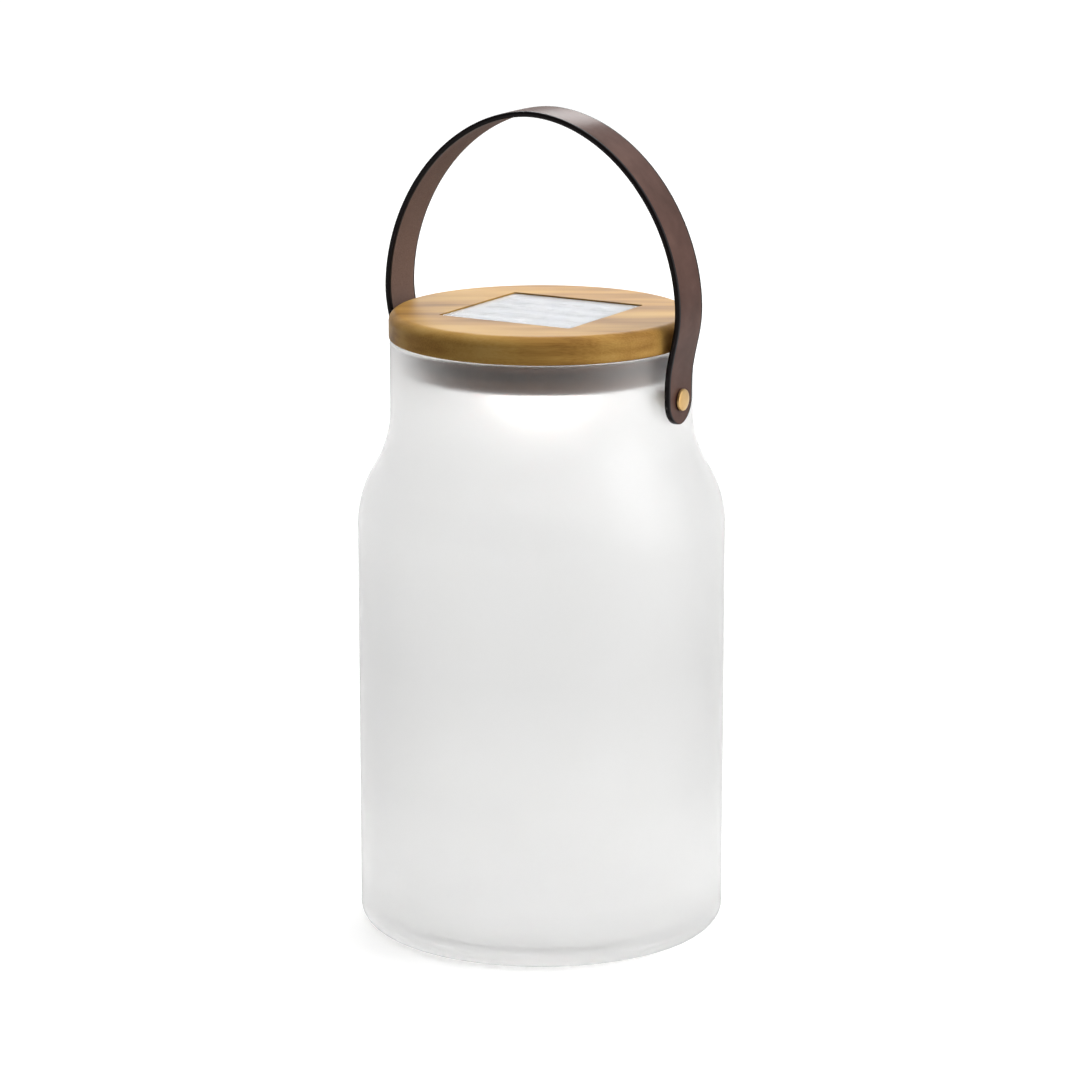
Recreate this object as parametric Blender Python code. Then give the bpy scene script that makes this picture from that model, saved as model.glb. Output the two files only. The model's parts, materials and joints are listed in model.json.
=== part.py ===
"""A solar lantern in a frosted mason jar, with a wooden stopper lid and a leather strap handle.

Units are metres, +Z is up, and the origin is the centre of the circle that the jar stands on. The
handle turns about a line parallel to X through the two brass studs in the jar's neck. Every turned
piece is an outline of (radius, height) points spun about its axis.
"""

from math import acos, cos, degrees, pi, radians, sin

import bmesh
import bpy
import numpy as np
from mathutils import Matrix, Vector

GAP = 0.0003  # between pieces that touch
PAST = 0.001  # how far a cutter runs past what it cuts
ROUND_STEPS = 56  # sides of the widest turned pieces

# The jar
BODY_R = 0.0825
NECK_R = 0.0676
WALL = 0.0032
RIM_Z = 0.2685
LIP_R = WALL / 2
SHOULDER_TOP_Z = 0.237
NECK_SWEEP_R = 0.052  # the hollow curve where the neck runs out into the shoulder
SHOULDER_SWEEP_R = 0.049  # the round curve where the shoulder runs into the body
FOOT_R = 0.008  # the base's outer corner
STANDING_IN_R = 0.064  # inner edge of the ring that the jar stands on
PUNT_Z = 0.0025  # how far the middle of the base is hollowed
FLOOR_Z = 0.007
FLOOR_CORNER_R = 0.006

# The studs
PIVOT_Z = 0.2476
SHANK_R = 0.0020
STUD_HEAD_R = 0.0050
STUD_HEAD_T = 0.0018
STUD_RIM_R = 0.0006
SHANK_CLEAR_R = SHANK_R + GAP
GROMMET_R = 0.0032
GROMMET_FLANGE_R = 0.0054
NECK_HOLE_R = GROMMET_R + GAP
NECK_IN_R = NECK_R - WALL
FLANGE_X = 0.0638  # outer face of the grommet's flange, just inside the neck
FLANGE_T = 0.0010
WASHER_T = 0.0008
WASHER_R = 0.0050
CAP_NUT_R = 0.0040
CAP_NUT_T = 0.0026
CAP_NUT_CROWN = 0.0006

# The strap
STRAP_T = 0.0026
STRAP_HALF_W = 0.0110
STRAP_EDGE = 0.0005  # how far its edges are bevelled
STRAP_TOP_Z = 0.3708
STRAP_SWELL_Z = 0.287  # where the strap is widest
STRAP_FOOT_X = NECK_R + GAP + STRAP_T  # outer face beside the neck
STRAP_WIDEST_X = 0.0753
STRAP_STRAIGHT_Z = 0.2535
STRAP_ROUNDNESS = 1.9  # exponent of the bow's superellipse: 2 would be an ellipse
EYELET_R = 0.0034
STRAP_HOLE_R = EYELET_R + GAP

# The lid
LID_R = 0.0680
LID_Z = 0.2689
LID_TOP_Z = 0.2811
LID_EDGE_R = 0.0045
LID_UNDER_R = 0.0010
RECESS_HALF = 0.0333
RECESS_Z = 0.2771
WIRE_HOLE_R = 0.0050
PANEL_HALF = 0.0330
BACKING_T = 0.0012
CELL_T = 0.0005
CELL_LENGTH = 0.0600
CELL_WIDTH = 0.0143
CELL_PITCH = 0.0150
COVER_T = 0.0010
CELL_COUNT = 4

# The plug
PLUG_TOP_R = 0.0636
PLUG_LOW_R = 0.0618
PLUG_WALL = 0.0026
PLUG_RIM_T = 0.0016
PLUG_EDGE = 0.0008
PLUG_Z = 0.2547
PLUG_TOP_Z = LID_Z - GAP
PLUG_FLOOR_Z = 0.2567
SEAL_LOW_Z = 0.2606
SEAL_TOP_Z = 0.2642
SEAL_IN_R = 0.0618
SEAL_R = NECK_IN_R - GAP
SEAL_EDGE = 0.0008
LIGHT_HOLE_R = 0.0184
BOSS_R = 0.0046
BOSS_RING_R = 0.0460
BOSS_COUNT = 4
BOSS_ROOT = 0.0005  # how far bosses start inside the plug's floor
LID_SCREW_R = 0.0016
LID_SCREW_HEAD_R = 0.0034
LID_SCREW_HEAD_T = 0.0015
LID_SCREW_HEAD_EDGE = 0.0004
LID_SCREW_TIP_Z = 0.2745
LID_SCREW_POINT = 0.0026
LID_SCREW_POINT_R = 0.0006
LID_SCREW_SINK = 0.0012
DRIVE_SLOT = Vector((0.0016, 0.0003, 0.0006))  # half length, half width and depth
POST_R = 0.0024
POST_X = 0.0170
BOARD_Y = -0.0440
POST_TOP_Z = 0.2613

# The light
LED_BOARD_R = 0.0280
LED_BOARD_Z = PLUG_FLOOR_Z + GAP
LED_BOARD_T = 0.0012
LED_RING_R = 0.0070
LED_R = 0.0024
LED_LENGTH = 0.0048
LED_COLLAR = 0.0004
LED_COLLAR_T = 0.0008
LED_COUNT = 4
RING_R = 0.0300
RING_IN_R = 0.0214
RING_REBATE_R = 0.0238
RING_Z = 0.2519
RING_LIP_T = 0.0012
RING_TOP_EDGE = 0.0006
RING_LOW_EDGE = 0.0008
DOME_R = RING_IN_R - GAP
DOME_FLANGE_R = RING_REBATE_R - GAP
DOME_Z = 0.2410
DOME_WALL = 0.0016
DOME_FLANGE_T = 0.0009
REFLECTOR_LOW_R = 0.0178
REFLECTOR_TOP_R = 0.0120
REFLECTOR_Z = 0.2520
REFLECTOR_WALL = 0.0008
RING_SCREW_COUNT = 3
RING_SCREW_RING_R = 0.0264
RING_SCREW_R = 0.0012
RING_SCREW_HEAD_R = 0.0022
RING_NUT_R = 0.0029
RING_NUT_T = 0.0016
RING_SCREW_END = 0.0004  # what shows past the nut

# The battery
CELL_Y = 0.0440
BATTERY_R = 0.00525
BATTERY_LENGTH = 0.0445
BATTERY_Z = 0.2632
NUB_R = 0.0019
NUB_LENGTH = 0.0010
BATTERY_EDGE = 0.0004
BATTERY_SHOULDER = 0.0012
HOLDER_HALF_X = 0.0272
HOLDER_HALF_Y = 0.0064
HOLDER_BASE_T = 0.0006
HOLDER_WALL = 0.0010
HOLDER_SIDE_WALL = 0.0008
NOTCH_Z = 0.2640
NOTCH_HALF = 0.0020
HOLDER_TOP_Z = 0.2675
PLATE_T = 0.0004
PLATE_HALF_Y = 0.0042
PLATE_SHORT = 0.0005  # how far it stops under the holder's top
SPRING_R = 0.0035
SPRING_WIRE_R = 0.00035
SPRING_TURNS = 2.5

# The charge board and the switch
BOARD_HALF_X = 0.0220
BOARD_HALF_Y = 0.0058
BOARD_T = 0.0012
BOARD_SCREW_R = 0.0010
BOARD_SCREW_HEAD_R = 0.0019
BOARD_SCREW_HEAD_T = 0.0012
BOARD_SCREW_LENGTH = 0.0040
CHIP_LOW = Vector((-0.0030, -0.0025, 0))
CHIP_HIGH = Vector((0.0030, 0.0015, 0.0012))
SWITCH_TRAVEL = 0.0040
KNOB_HALF_X = 0.0016
KNOB_HALF_Y = 0.0012
KNOB_Z = 0.2529
KNOB_FLANGE = 0.0014  # how far the slider's flange reaches past its stem
KNOB_FLANGE_T = 0.0008
SWITCH_X = -0.0020  # the slider's place when the light is off
SWITCH_BODY_HALF_X = 0.0075
SWITCH_BODY_HALF_Y = 0.0036
SWITCH_BODY_TOP_Z = POST_TOP_Z
WIRE_R = 0.0006


# ---- finishes ----


def finish(name, colour, roughness, metallic=0.0, alpha=1.0):
    """A Principled material of one finish."""
    material = bpy.data.materials.new(name)
    material.use_nodes = True
    shader = material.node_tree.nodes["Principled BSDF"]
    shader.inputs["Base Color"].default_value = (*colour, 1.0)
    shader.inputs["Roughness"].default_value = roughness
    shader.inputs["Metallic"].default_value = metallic
    shader.inputs["Alpha"].default_value = alpha
    material.diffuse_color = (*colour, alpha)
    return material


def make_finishes():
    return {
        "frosted_glass": finish("frosted_glass", (0.86, 0.88, 0.88), 0.45, alpha=0.45),
        "bamboo": finish("bamboo", (0.60, 0.40, 0.20), 0.55),
        "leather": finish("leather", (0.115, 0.075, 0.064), 0.60),
        "brass": finish("brass", (0.66, 0.44, 0.17), 0.28, metallic=1.0),
        "nylon": finish("nylon", (0.80, 0.79, 0.75), 0.50),
        "silicone": finish("silicone", (0.030, 0.025, 0.022), 0.65),
        "plug_plastic": finish("plug_plastic", (0.045, 0.037, 0.032), 0.50),
        "white_plastic": finish("white_plastic", (0.80, 0.80, 0.78), 0.45),
        "diffuser": finish("diffuser", (0.90, 0.89, 0.85), 0.40),
        "solar_cell": finish("solar_cell", (0.015, 0.022, 0.055), 0.25),
        "clear_cover": finish("clear_cover", (0.92, 0.94, 0.95), 0.05, alpha=0.35),
        "circuit_board": finish("circuit_board", (0.03, 0.16, 0.06), 0.45),
        "steel": finish("steel", (0.62, 0.62, 0.63), 0.30, metallic=1.0),
        "battery_sleeve": finish("battery_sleeve", (0.06, 0.30, 0.12), 0.35),
        "led_lens": finish("led_lens", (0.95, 0.88, 0.62), 0.20),
        "black_plastic": finish("black_plastic", (0.02, 0.02, 0.02), 0.45),
        "red_wire": finish("red_wire", (0.55, 0.03, 0.02), 0.45),
        "black_wire": finish("black_wire", (0.02, 0.02, 0.02), 0.45),
    }


# ---- shapes ----


def add_object(name, bm, material):
    """Stores a bmesh as an object with its faces turned outwards."""
    bmesh.ops.remove_doubles(bm, verts=bm.verts, dist=1e-7)
    bmesh.ops.recalc_face_normals(bm, faces=bm.faces)
    mesh = bpy.data.meshes.new(name)
    bm.to_mesh(mesh)
    bm.free()
    mesh.shade_smooth()
    mesh.set_sharp_from_angle(angle=radians(35))
    obj = bpy.data.objects.new(name, mesh)
    if material:
        mesh.materials.append(material)
    bpy.context.scene.collection.objects.link(obj)
    return obj


def arc(centre_r, centre_z, radius, start, end, steps):
    """Points of (radius, height) round a centre, from one angle to the other in degrees."""
    angles = np.radians(np.linspace(start, end, steps + 1))
    return [(centre_r + radius * cos(a), centre_z + radius * sin(a)) for a in angles]


def turned(name, outline, material, steps=32, place=(0, 0, 0), along="Z"):
    """Spins a closed outline of (radius, height) about Z, then lays its axis along Z, X or -X."""
    bm = bmesh.new()
    points = [bm.verts.new((r, 0, z)) for r, z in outline]
    edges = [bm.edges.new((a, b)) for a, b in zip(points, points[1:] + points[:1])]
    bmesh.ops.spin(bm, geom=points + edges, cent=(0, 0, 0), axis=(0, 0, 1), dvec=(0, 0, 0),
                   angle=2 * pi, steps=steps, use_merge=True, use_duplicate=False)
    bmesh.ops.remove_doubles(bm, verts=bm.verts, dist=1e-7)
    bmesh.ops.dissolve_degenerate(bm, edges=bm.edges, dist=1e-7)
    turn = {"Z": 0, "X": pi / 2, "-X": -pi / 2}[along]
    bmesh.ops.rotate(bm, verts=bm.verts, cent=(0, 0, 0), matrix=Matrix.Rotation(turn, 3, "Y"))
    obj = add_object(name, bm, material)
    obj.location = place
    return obj


def rod(name, radius, start, end, material, steps=24, place=(0, 0, 0), along="Z"):
    """A plain turned rod between two heights on its own axis."""
    outline = [(0, end), (radius, end), (radius, start), (0, start)]
    return turned(name, outline, material, steps, place, along)


def block(name, low, high, material):
    """A box between two corners, with its origin in its middle."""
    low, high = Vector(low), Vector(high)
    bm = bmesh.new()
    bmesh.ops.create_cube(bm, size=1)
    bmesh.ops.scale(bm, vec=high - low, verts=bm.verts)
    obj = add_object(name, bm, material)
    obj.location = (low + high) / 2
    return obj


def boolean(target, tools, operation):
    """Cuts or joins the target with each tool, and hides the tools."""
    for tool in tools:
        modifier = target.modifiers.new(tool.name, "BOOLEAN")
        modifier.operation = operation
        modifier.solver = "EXACT"
        modifier.object = tool
        tool.hide_render = True
        tool.display_type = "WIRE"
    return target


def cut(target, *cutters):
    return boolean(target, cutters, "DIFFERENCE")


def join(target, *added):
    return boolean(target, added, "UNION")


def ring_places(count, radius, first_angle):
    """(x, y) of each of count points spaced evenly round a circle."""
    angles = [radians(first_angle) + 2 * pi * i / count for i in range(count)]
    return [(radius * cos(a), radius * sin(a)) for a in angles]


# ---- the jar and its studs ----


def jar_outline():
    """The glass from the middle of the base, up the outside, over the lip and down the inside."""
    sweep = NECK_SWEEP_R + SHOULDER_SWEEP_R
    rise = BODY_R - NECK_R
    angle = degrees(acos(1 - rise / sweep))
    shoulder_low_z = SHOULDER_TOP_Z - sweep * sin(radians(angle))
    shoulder_r = BODY_R - SHOULDER_SWEEP_R
    neck_r = NECK_R + NECK_SWEEP_R
    foot = arc(BODY_R - FOOT_R, FOOT_R, FOOT_R, -90, 0, 4)
    shoulder = arc(shoulder_r, shoulder_low_z, SHOULDER_SWEEP_R, 0, angle, 4)
    neck = arc(neck_r, SHOULDER_TOP_Z, NECK_SWEEP_R, 180 + angle, 180, 4)[1:]
    lip = arc(NECK_R - LIP_R, RIM_Z - LIP_R, LIP_R, 0, 180, 4)
    neck_in = arc(neck_r, SHOULDER_TOP_Z, NECK_SWEEP_R + WALL, 180, 180 + angle, 4)
    shoulder_in = arc(shoulder_r, shoulder_low_z, SHOULDER_SWEEP_R - WALL, angle, 0, 4)[1:]
    in_corner_r = BODY_R - WALL - FLOOR_CORNER_R
    in_corner = arc(in_corner_r, FLOOR_Z + FLOOR_CORNER_R, FLOOR_CORNER_R, 0, -90, 3)
    punt = [(0, PUNT_Z), (STANDING_IN_R - 2 * PUNT_Z, PUNT_Z), (STANDING_IN_R, 0)]
    return punt + foot + shoulder + neck + lip + neck_in + shoulder_in + in_corner + [(0, FLOOR_Z)]


def make_jar(finishes):
    jar = turned("glass_jar", jar_outline(), finishes["frosted_glass"], ROUND_STEPS)
    drill = rod("neck_drill", NECK_HOLE_R, -NECK_R - PAST, NECK_R + PAST, None, 16,
                place=(0, 0, PIVOT_Z), along="X")
    return cut(jar, drill)


def hexagon(name, radius, start, end, material, place, along="Z"):
    return rod(name, radius, start, end, material, steps=6, place=place, along=along)


def make_stud(side, sign, finishes, handle_axis):
    """One pivot: stud, grommet, washer and cap nut on the X axis, and the strap's eyelet."""
    along = "X" if sign > 0 else "-X"
    place = (0, 0, PIVOT_Z)
    head_x = STRAP_FOOT_X + GAP
    washer_x = FLANGE_X - FLANGE_T - GAP
    nut_x = washer_x - WASHER_T - GAP
    shank_x = nut_x - CAP_NUT_T + 2 * GAP
    edge = arc(STUD_HEAD_R - STUD_RIM_R, head_x + STUD_RIM_R, STUD_RIM_R, 0, 60, 2)
    crown = [(STUD_HEAD_R * 0.60, head_x + STUD_HEAD_T * 0.90), (0, head_x + STUD_HEAD_T)]
    stud = [(0, shank_x), (SHANK_R, shank_x), (SHANK_R, head_x), (STUD_HEAD_R, head_x)]
    turned(f"{side}_stud", stud + edge + crown, finishes["brass"], 20, place, along)

    grommet = [(SHANK_CLEAR_R, FLANGE_X - FLANGE_T), (GROMMET_FLANGE_R, FLANGE_X - FLANGE_T),
               (GROMMET_FLANGE_R, FLANGE_X), (GROMMET_R, FLANGE_X),
               (GROMMET_R, NECK_R - GAP), (SHANK_CLEAR_R, NECK_R - GAP)]
    turned(f"{side}_grommet", grommet, finishes["nylon"], 16, place, along)

    washer = [(SHANK_CLEAR_R, washer_x), (SHANK_CLEAR_R, washer_x - WASHER_T),
              (WASHER_R, washer_x - WASHER_T), (WASHER_R, washer_x)]
    turned(f"{side}_washer", washer, finishes["nylon"], 16, place, along)

    nut = hexagon(f"{side}_cap_nut", CAP_NUT_R, nut_x - CAP_NUT_T - CAP_NUT_CROWN, nut_x,
                  finishes["nylon"], place, along)
    bore = rod(f"{side}_nut_bore", SHANK_CLEAR_R, nut_x - CAP_NUT_T + GAP, nut_x + PAST,
               None, 12, place, along)
    cut(nut, bore)

    sleeve = [(SHANK_CLEAR_R, STRAP_FOOT_X - STRAP_T), (EYELET_R, STRAP_FOOT_X - STRAP_T),
              (EYELET_R, STRAP_FOOT_X), (SHANK_CLEAR_R, STRAP_FOOT_X)]
    eyelet = turned(f"{side}_eyelet", sleeve, finishes["brass"], 16, (0, 0, 0), along)
    eyelet.parent = handle_axis


# ---- the strap ----


def strap_path():
    """Centre points of the strap's outer face, (x, z), from the -X end over the top to the +X end."""
    foot_z = PIVOT_Z - STRAP_HALF_W
    end_steps = STRAP_HALF_W * (1 - np.cos(np.radians([15, 35, 55, 75])))
    straight = foot_z + end_steps
    flare = np.linspace(STRAP_STRAIGHT_Z, STRAP_SWELL_Z, 7)
    side = []
    for z in [*straight, *flare]:
        turn = pi * max(z - STRAP_STRAIGHT_Z, 0) / (STRAP_SWELL_Z - STRAP_STRAIGHT_Z)
        side.append((STRAP_FOOT_X + (STRAP_WIDEST_X - STRAP_FOOT_X) * (1 - cos(turn)) / 2, z))
    power = 2 / STRAP_ROUNDNESS
    rise = STRAP_TOP_Z - STRAP_SWELL_Z
    bow = [(STRAP_WIDEST_X * cos(t) ** power, STRAP_SWELL_Z + rise * sin(t) ** power)
           for t in np.linspace(0, pi / 2, 13)[1:-1]]
    right = side + bow
    left = [(-x, z) for x, z in right]
    return left + [(0.0, STRAP_TOP_Z)] + right[::-1]


def strap_section(half_width, outer, inner):
    """The eight corners of the strap's bevelled section at one station."""
    bevel = min(STRAP_EDGE, half_width / 2)
    across = inner - outer
    skin = bevel / STRAP_T
    places = [(-half_width + bevel, 0), (half_width - bevel, 0), (half_width, skin),
              (half_width, 1 - skin), (half_width - bevel, 1), (-half_width + bevel, 1),
              (-half_width, 1 - skin), (-half_width, skin)]
    return [outer + across * depth + Vector((0, y, 0)) for y, depth in places]


def make_strap(finishes, handle_axis):
    """A leather strap bent over the lid, with round ends, as a loft of bevelled sections."""
    path = [Vector((x, 0, z - PIVOT_Z)) for x, z in strap_path()]
    bm = bmesh.new()
    sections = []
    for i, point in enumerate(path):
        ahead = path[min(i + 1, len(path) - 1)] - path[max(i - 1, 0)]
        inward = Vector((ahead.z, 0, -ahead.x)).normalized()
        from_end = point.z + STRAP_HALF_W  # height over the strap's round end
        short = max(STRAP_HALF_W - from_end, 0)
        half_width = max(STRAP_HALF_W ** 2 - short ** 2, 0) ** 0.5
        corners = strap_section(half_width, point, point + inward * STRAP_T)
        sections.append([bm.verts.new(corner) for corner in corners])
    for a, b in zip(sections, sections[1:]):
        for i in range(len(a)):
            j = (i + 1) % len(a)
            bm.faces.new((a[i], a[j], b[j], b[i]))
    bm.faces.new(sections[0])
    bm.faces.new(sections[-1])
    strap = add_object("handle_strap", bm, finishes["leather"])
    strap.parent = handle_axis
    punch = rod("strap_punch", STRAP_HOLE_R, -STRAP_WIDEST_X, STRAP_WIDEST_X, None, 16, along="X")
    punch.parent = handle_axis
    return cut(strap, punch)


# ---- the lid and its panel ----


def make_wooden_lid(finishes):
    top = arc(LID_R - LID_EDGE_R, LID_TOP_Z - LID_EDGE_R, LID_EDGE_R, 90, 0, 4)
    under = arc(LID_R - LID_UNDER_R, LID_Z + LID_UNDER_R, LID_UNDER_R, 0, -90, 1)
    lid = turned("wooden_lid", [(0, LID_TOP_Z)] + top + under + [(0, LID_Z)],
                 finishes["bamboo"], ROUND_STEPS)
    recess = block("panel_recess", (-RECESS_HALF, -RECESS_HALF, RECESS_Z),
                   (RECESS_HALF, RECESS_HALF, LID_TOP_Z + PAST), None)
    wire_hole = rod("wire_hole", WIRE_HOLE_R, LID_Z - PAST, RECESS_Z + PAST, None, 16)
    cut(lid, recess, wire_hole)
    for i, (x, y) in enumerate(ring_places(BOSS_COUNT, BOSS_RING_R, 45), 1):
        pilot = rod(f"pilot_{i}", LID_SCREW_R + GAP, LID_Z - PAST, LID_SCREW_TIP_Z + GAP, None,
                    12, (x, y, 0))
        cut(lid, pilot)
    return lid


def make_solar_panel(finishes):
    """Backing, a row of cell strips and a clear cover, with a gap between each layer."""
    backing_z = RECESS_Z + GAP
    cell_z = backing_z + BACKING_T + GAP
    cover_z = cell_z + CELL_T + GAP
    half = PANEL_HALF
    block("solar_backing", (-half, -half, backing_z), (half, half, backing_z + BACKING_T),
          finishes["white_plastic"])
    for i in range(CELL_COUNT):
        y = (i - (CELL_COUNT - 1) / 2) * CELL_PITCH
        block(f"solar_cell_{i + 1}", (-CELL_LENGTH / 2, y - CELL_WIDTH / 2, cell_z),
              (CELL_LENGTH / 2, y + CELL_WIDTH / 2, cell_z + CELL_T), finishes["solar_cell"])
    cover = block("solar_cover", (-half, -half, cover_z), (half, half, cover_z + COVER_T),
                  finishes["clear_cover"])
    edge = cover.modifiers.new("edge", "BEVEL")
    edge.width = COVER_T * 0.25
    edge.segments = 1


# ---- the plug ----


def plug_radius(z):
    """Outer radius of the tapered plug at a height."""
    return PLUG_LOW_R + (PLUG_TOP_R - PLUG_LOW_R) * (z - PLUG_Z) / (PLUG_TOP_Z - PLUG_Z)


def make_plug(finishes):
    groove_r = SEAL_IN_R - GAP
    outer = [(PLUG_TOP_R, PLUG_TOP_Z), (plug_radius(SEAL_TOP_Z + GAP), SEAL_TOP_Z + GAP),
             (groove_r, SEAL_TOP_Z + GAP), (groove_r, SEAL_LOW_Z - GAP),
             (plug_radius(SEAL_LOW_Z - GAP), SEAL_LOW_Z - GAP), (PLUG_LOW_R, PLUG_Z + PLUG_EDGE),
             (PLUG_LOW_R - PLUG_EDGE, PLUG_Z)]
    inner = [(LIGHT_HOLE_R, PLUG_Z), (LIGHT_HOLE_R, PLUG_FLOOR_Z),
             (PLUG_LOW_R - PLUG_WALL, PLUG_FLOOR_Z), (groove_r - PLUG_RIM_T, PLUG_TOP_Z)]
    plug = turned("plug_housing", outer + inner, finishes["plug_plastic"], ROUND_STEPS)
    for i, (x, y) in enumerate(ring_places(BOSS_COUNT, BOSS_RING_R, 45), 1):
        boss = rod(f"boss_{i}", BOSS_R, PLUG_Z + BOSS_ROOT, PLUG_TOP_Z, None, 12, (x, y, 0))
        sink_z = PLUG_Z + LID_SCREW_SINK + LID_SCREW_HEAD_T + GAP
        hole = turned(f"boss_hole_{i}",
                      [(0, PLUG_TOP_Z + PAST), (LID_SCREW_R + GAP, PLUG_TOP_Z + PAST),
                       (LID_SCREW_R + GAP, sink_z), (LID_SCREW_HEAD_R + GAP, sink_z),
                       (LID_SCREW_HEAD_R + GAP, PLUG_Z - PAST), (0, PLUG_Z - PAST)],
                      None, 12, (x, y, 0))
        join(plug, boss)
        cut(plug, hole)
    for i, x in enumerate((-POST_X, POST_X), 1):
        post = rod(f"post_{i}", POST_R, PLUG_Z + BOSS_ROOT, POST_TOP_Z, None, 12, (x, BOARD_Y, 0))
        pilot = rod(f"post_pilot_{i}", BOARD_SCREW_R + GAP, PLUG_FLOOR_Z, POST_TOP_Z + PAST, None,
                    8, (x, BOARD_Y, 0))
        join(plug, post)
        cut(plug, pilot)
    for i, (x, y) in enumerate(ring_places(RING_SCREW_COUNT, RING_SCREW_RING_R, 90), 1):
        cut(plug, rod(f"floor_hole_{i}", RING_SCREW_R + GAP, PLUG_Z - PAST, PLUG_FLOOR_Z + PAST,
                      None, 8, (x, y, 0)))
    slot = block("switch_slot",
                 (SWITCH_X - KNOB_HALF_X - GAP, BOARD_Y - KNOB_HALF_Y - GAP, PLUG_Z - PAST),
                 (SWITCH_X + KNOB_HALF_X + SWITCH_TRAVEL + GAP, BOARD_Y + KNOB_HALF_Y + GAP,
                  PLUG_FLOOR_Z + PAST), None)
    cut(plug, slot)

    seal = arc(SEAL_R - SEAL_EDGE, SEAL_TOP_Z - SEAL_EDGE, SEAL_EDGE, 90, 0, 1)
    seal += arc(SEAL_R - SEAL_EDGE, SEAL_LOW_Z + SEAL_EDGE, SEAL_EDGE, 0, -90, 1)
    turned("plug_seal", [(SEAL_IN_R, SEAL_TOP_Z)] + seal + [(SEAL_IN_R, SEAL_LOW_Z)],
           finishes["silicone"], ROUND_STEPS)


def make_lid_screws(finishes):
    """Pan-head screws that hold the plug up against the wood."""
    head_z = PLUG_Z + LID_SCREW_SINK
    for i, (x, y) in enumerate(ring_places(BOSS_COUNT, BOSS_RING_R, 45), 1):
        outline = [(0, LID_SCREW_TIP_Z), (LID_SCREW_POINT_R, LID_SCREW_TIP_Z - GAP),
                   (LID_SCREW_R, LID_SCREW_TIP_Z - LID_SCREW_POINT),
                   (LID_SCREW_R, head_z + LID_SCREW_HEAD_T),
                   (LID_SCREW_HEAD_R, head_z + LID_SCREW_HEAD_T),
                   (LID_SCREW_HEAD_R, head_z + LID_SCREW_HEAD_EDGE),
                   (LID_SCREW_HEAD_R * 0.7, head_z), (0, head_z)]
        screw = turned(f"lid_screw_{i}", outline, finishes["steel"], 12, (x, y, 0))
        for turn in (0, 90):
            drive = block(f"lid_screw_{i}_drive_{turn}", -DRIVE_SLOT, DRIVE_SLOT, None)
            drive.location = (x, y, head_z)
            drive.rotation_euler.z = radians(turn + 45)
            cut(screw, drive)


# ---- the light ----


def make_led_board(finishes):
    board = rod("led_board", LED_BOARD_R, LED_BOARD_Z, LED_BOARD_Z + LED_BOARD_T,
                finishes["circuit_board"], 32)
    for i, (x, y) in enumerate(ring_places(RING_SCREW_COUNT, RING_SCREW_RING_R, 90), 1):
        cut(board, rod(f"board_hole_{i}", RING_SCREW_R + GAP, LED_BOARD_Z - PAST,
                       LED_BOARD_Z + LED_BOARD_T + PAST, None, 8, (x, y, 0)))
    top = LED_BOARD_Z - GAP
    for i, (x, y) in enumerate(ring_places(LED_COUNT, LED_RING_R, 0), 1):
        bulb = arc(0, top - LED_LENGTH + LED_R, LED_R, 0, -90, 3)
        outline = [(0, top), (LED_R + LED_COLLAR, top), (LED_R + LED_COLLAR, top - LED_COLLAR_T),
                   (LED_R, top - LED_COLLAR_T)] + bulb
        turned(f"led_{i}", outline, finishes["led_lens"], 12, (x, y, 0))


def make_reflector(finishes):
    top = LED_BOARD_Z - GAP
    outline = [(REFLECTOR_TOP_R, top), (REFLECTOR_TOP_R + REFLECTOR_WALL, top),
               (REFLECTOR_LOW_R, REFLECTOR_Z), (REFLECTOR_LOW_R - REFLECTOR_WALL, REFLECTOR_Z)]
    turned("reflector", outline, finishes["white_plastic"], 32)


def make_lens_ring(finishes):
    top = PLUG_Z - GAP
    rebate_z = RING_Z + RING_LIP_T
    outline = [(RING_REBATE_R, top), (RING_R - RING_TOP_EDGE, top), (RING_R, top - RING_TOP_EDGE),
               (RING_R, RING_Z + RING_LOW_EDGE), (RING_R - RING_LOW_EDGE, RING_Z),
               (RING_IN_R, RING_Z), (RING_IN_R, rebate_z), (RING_REBATE_R, rebate_z)]
    ring = turned("lens_ring", outline, finishes["white_plastic"], 32)
    for i, (x, y) in enumerate(ring_places(RING_SCREW_COUNT, RING_SCREW_RING_R, 90), 1):
        cut(ring, rod(f"ring_hole_{i}", RING_SCREW_R + GAP, RING_Z - PAST, top + PAST, None,
                      8, (x, y, 0)))


def make_diffuser(finishes):
    """The frosted dome under the lights, open above, with a flange that the ring holds."""
    flange_low = RING_Z + RING_LIP_T + GAP
    flange_top = flange_low + DOME_FLANGE_T
    depth = flange_low - DOME_Z
    steps = np.radians(np.linspace(0, 90, 6))
    outside = [(DOME_R * cos(a), flange_low - depth * sin(a)) for a in steps]
    inside = [((DOME_R - DOME_WALL) * cos(a), flange_low - (depth - DOME_WALL) * sin(a))
              for a in reversed(steps)]
    outline = [(DOME_R - DOME_WALL, flange_top), (DOME_FLANGE_R, flange_top),
               (DOME_FLANGE_R, flange_low)] + outside + inside
    turned("diffuser_dome", outline, finishes["diffuser"], 32)


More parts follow.
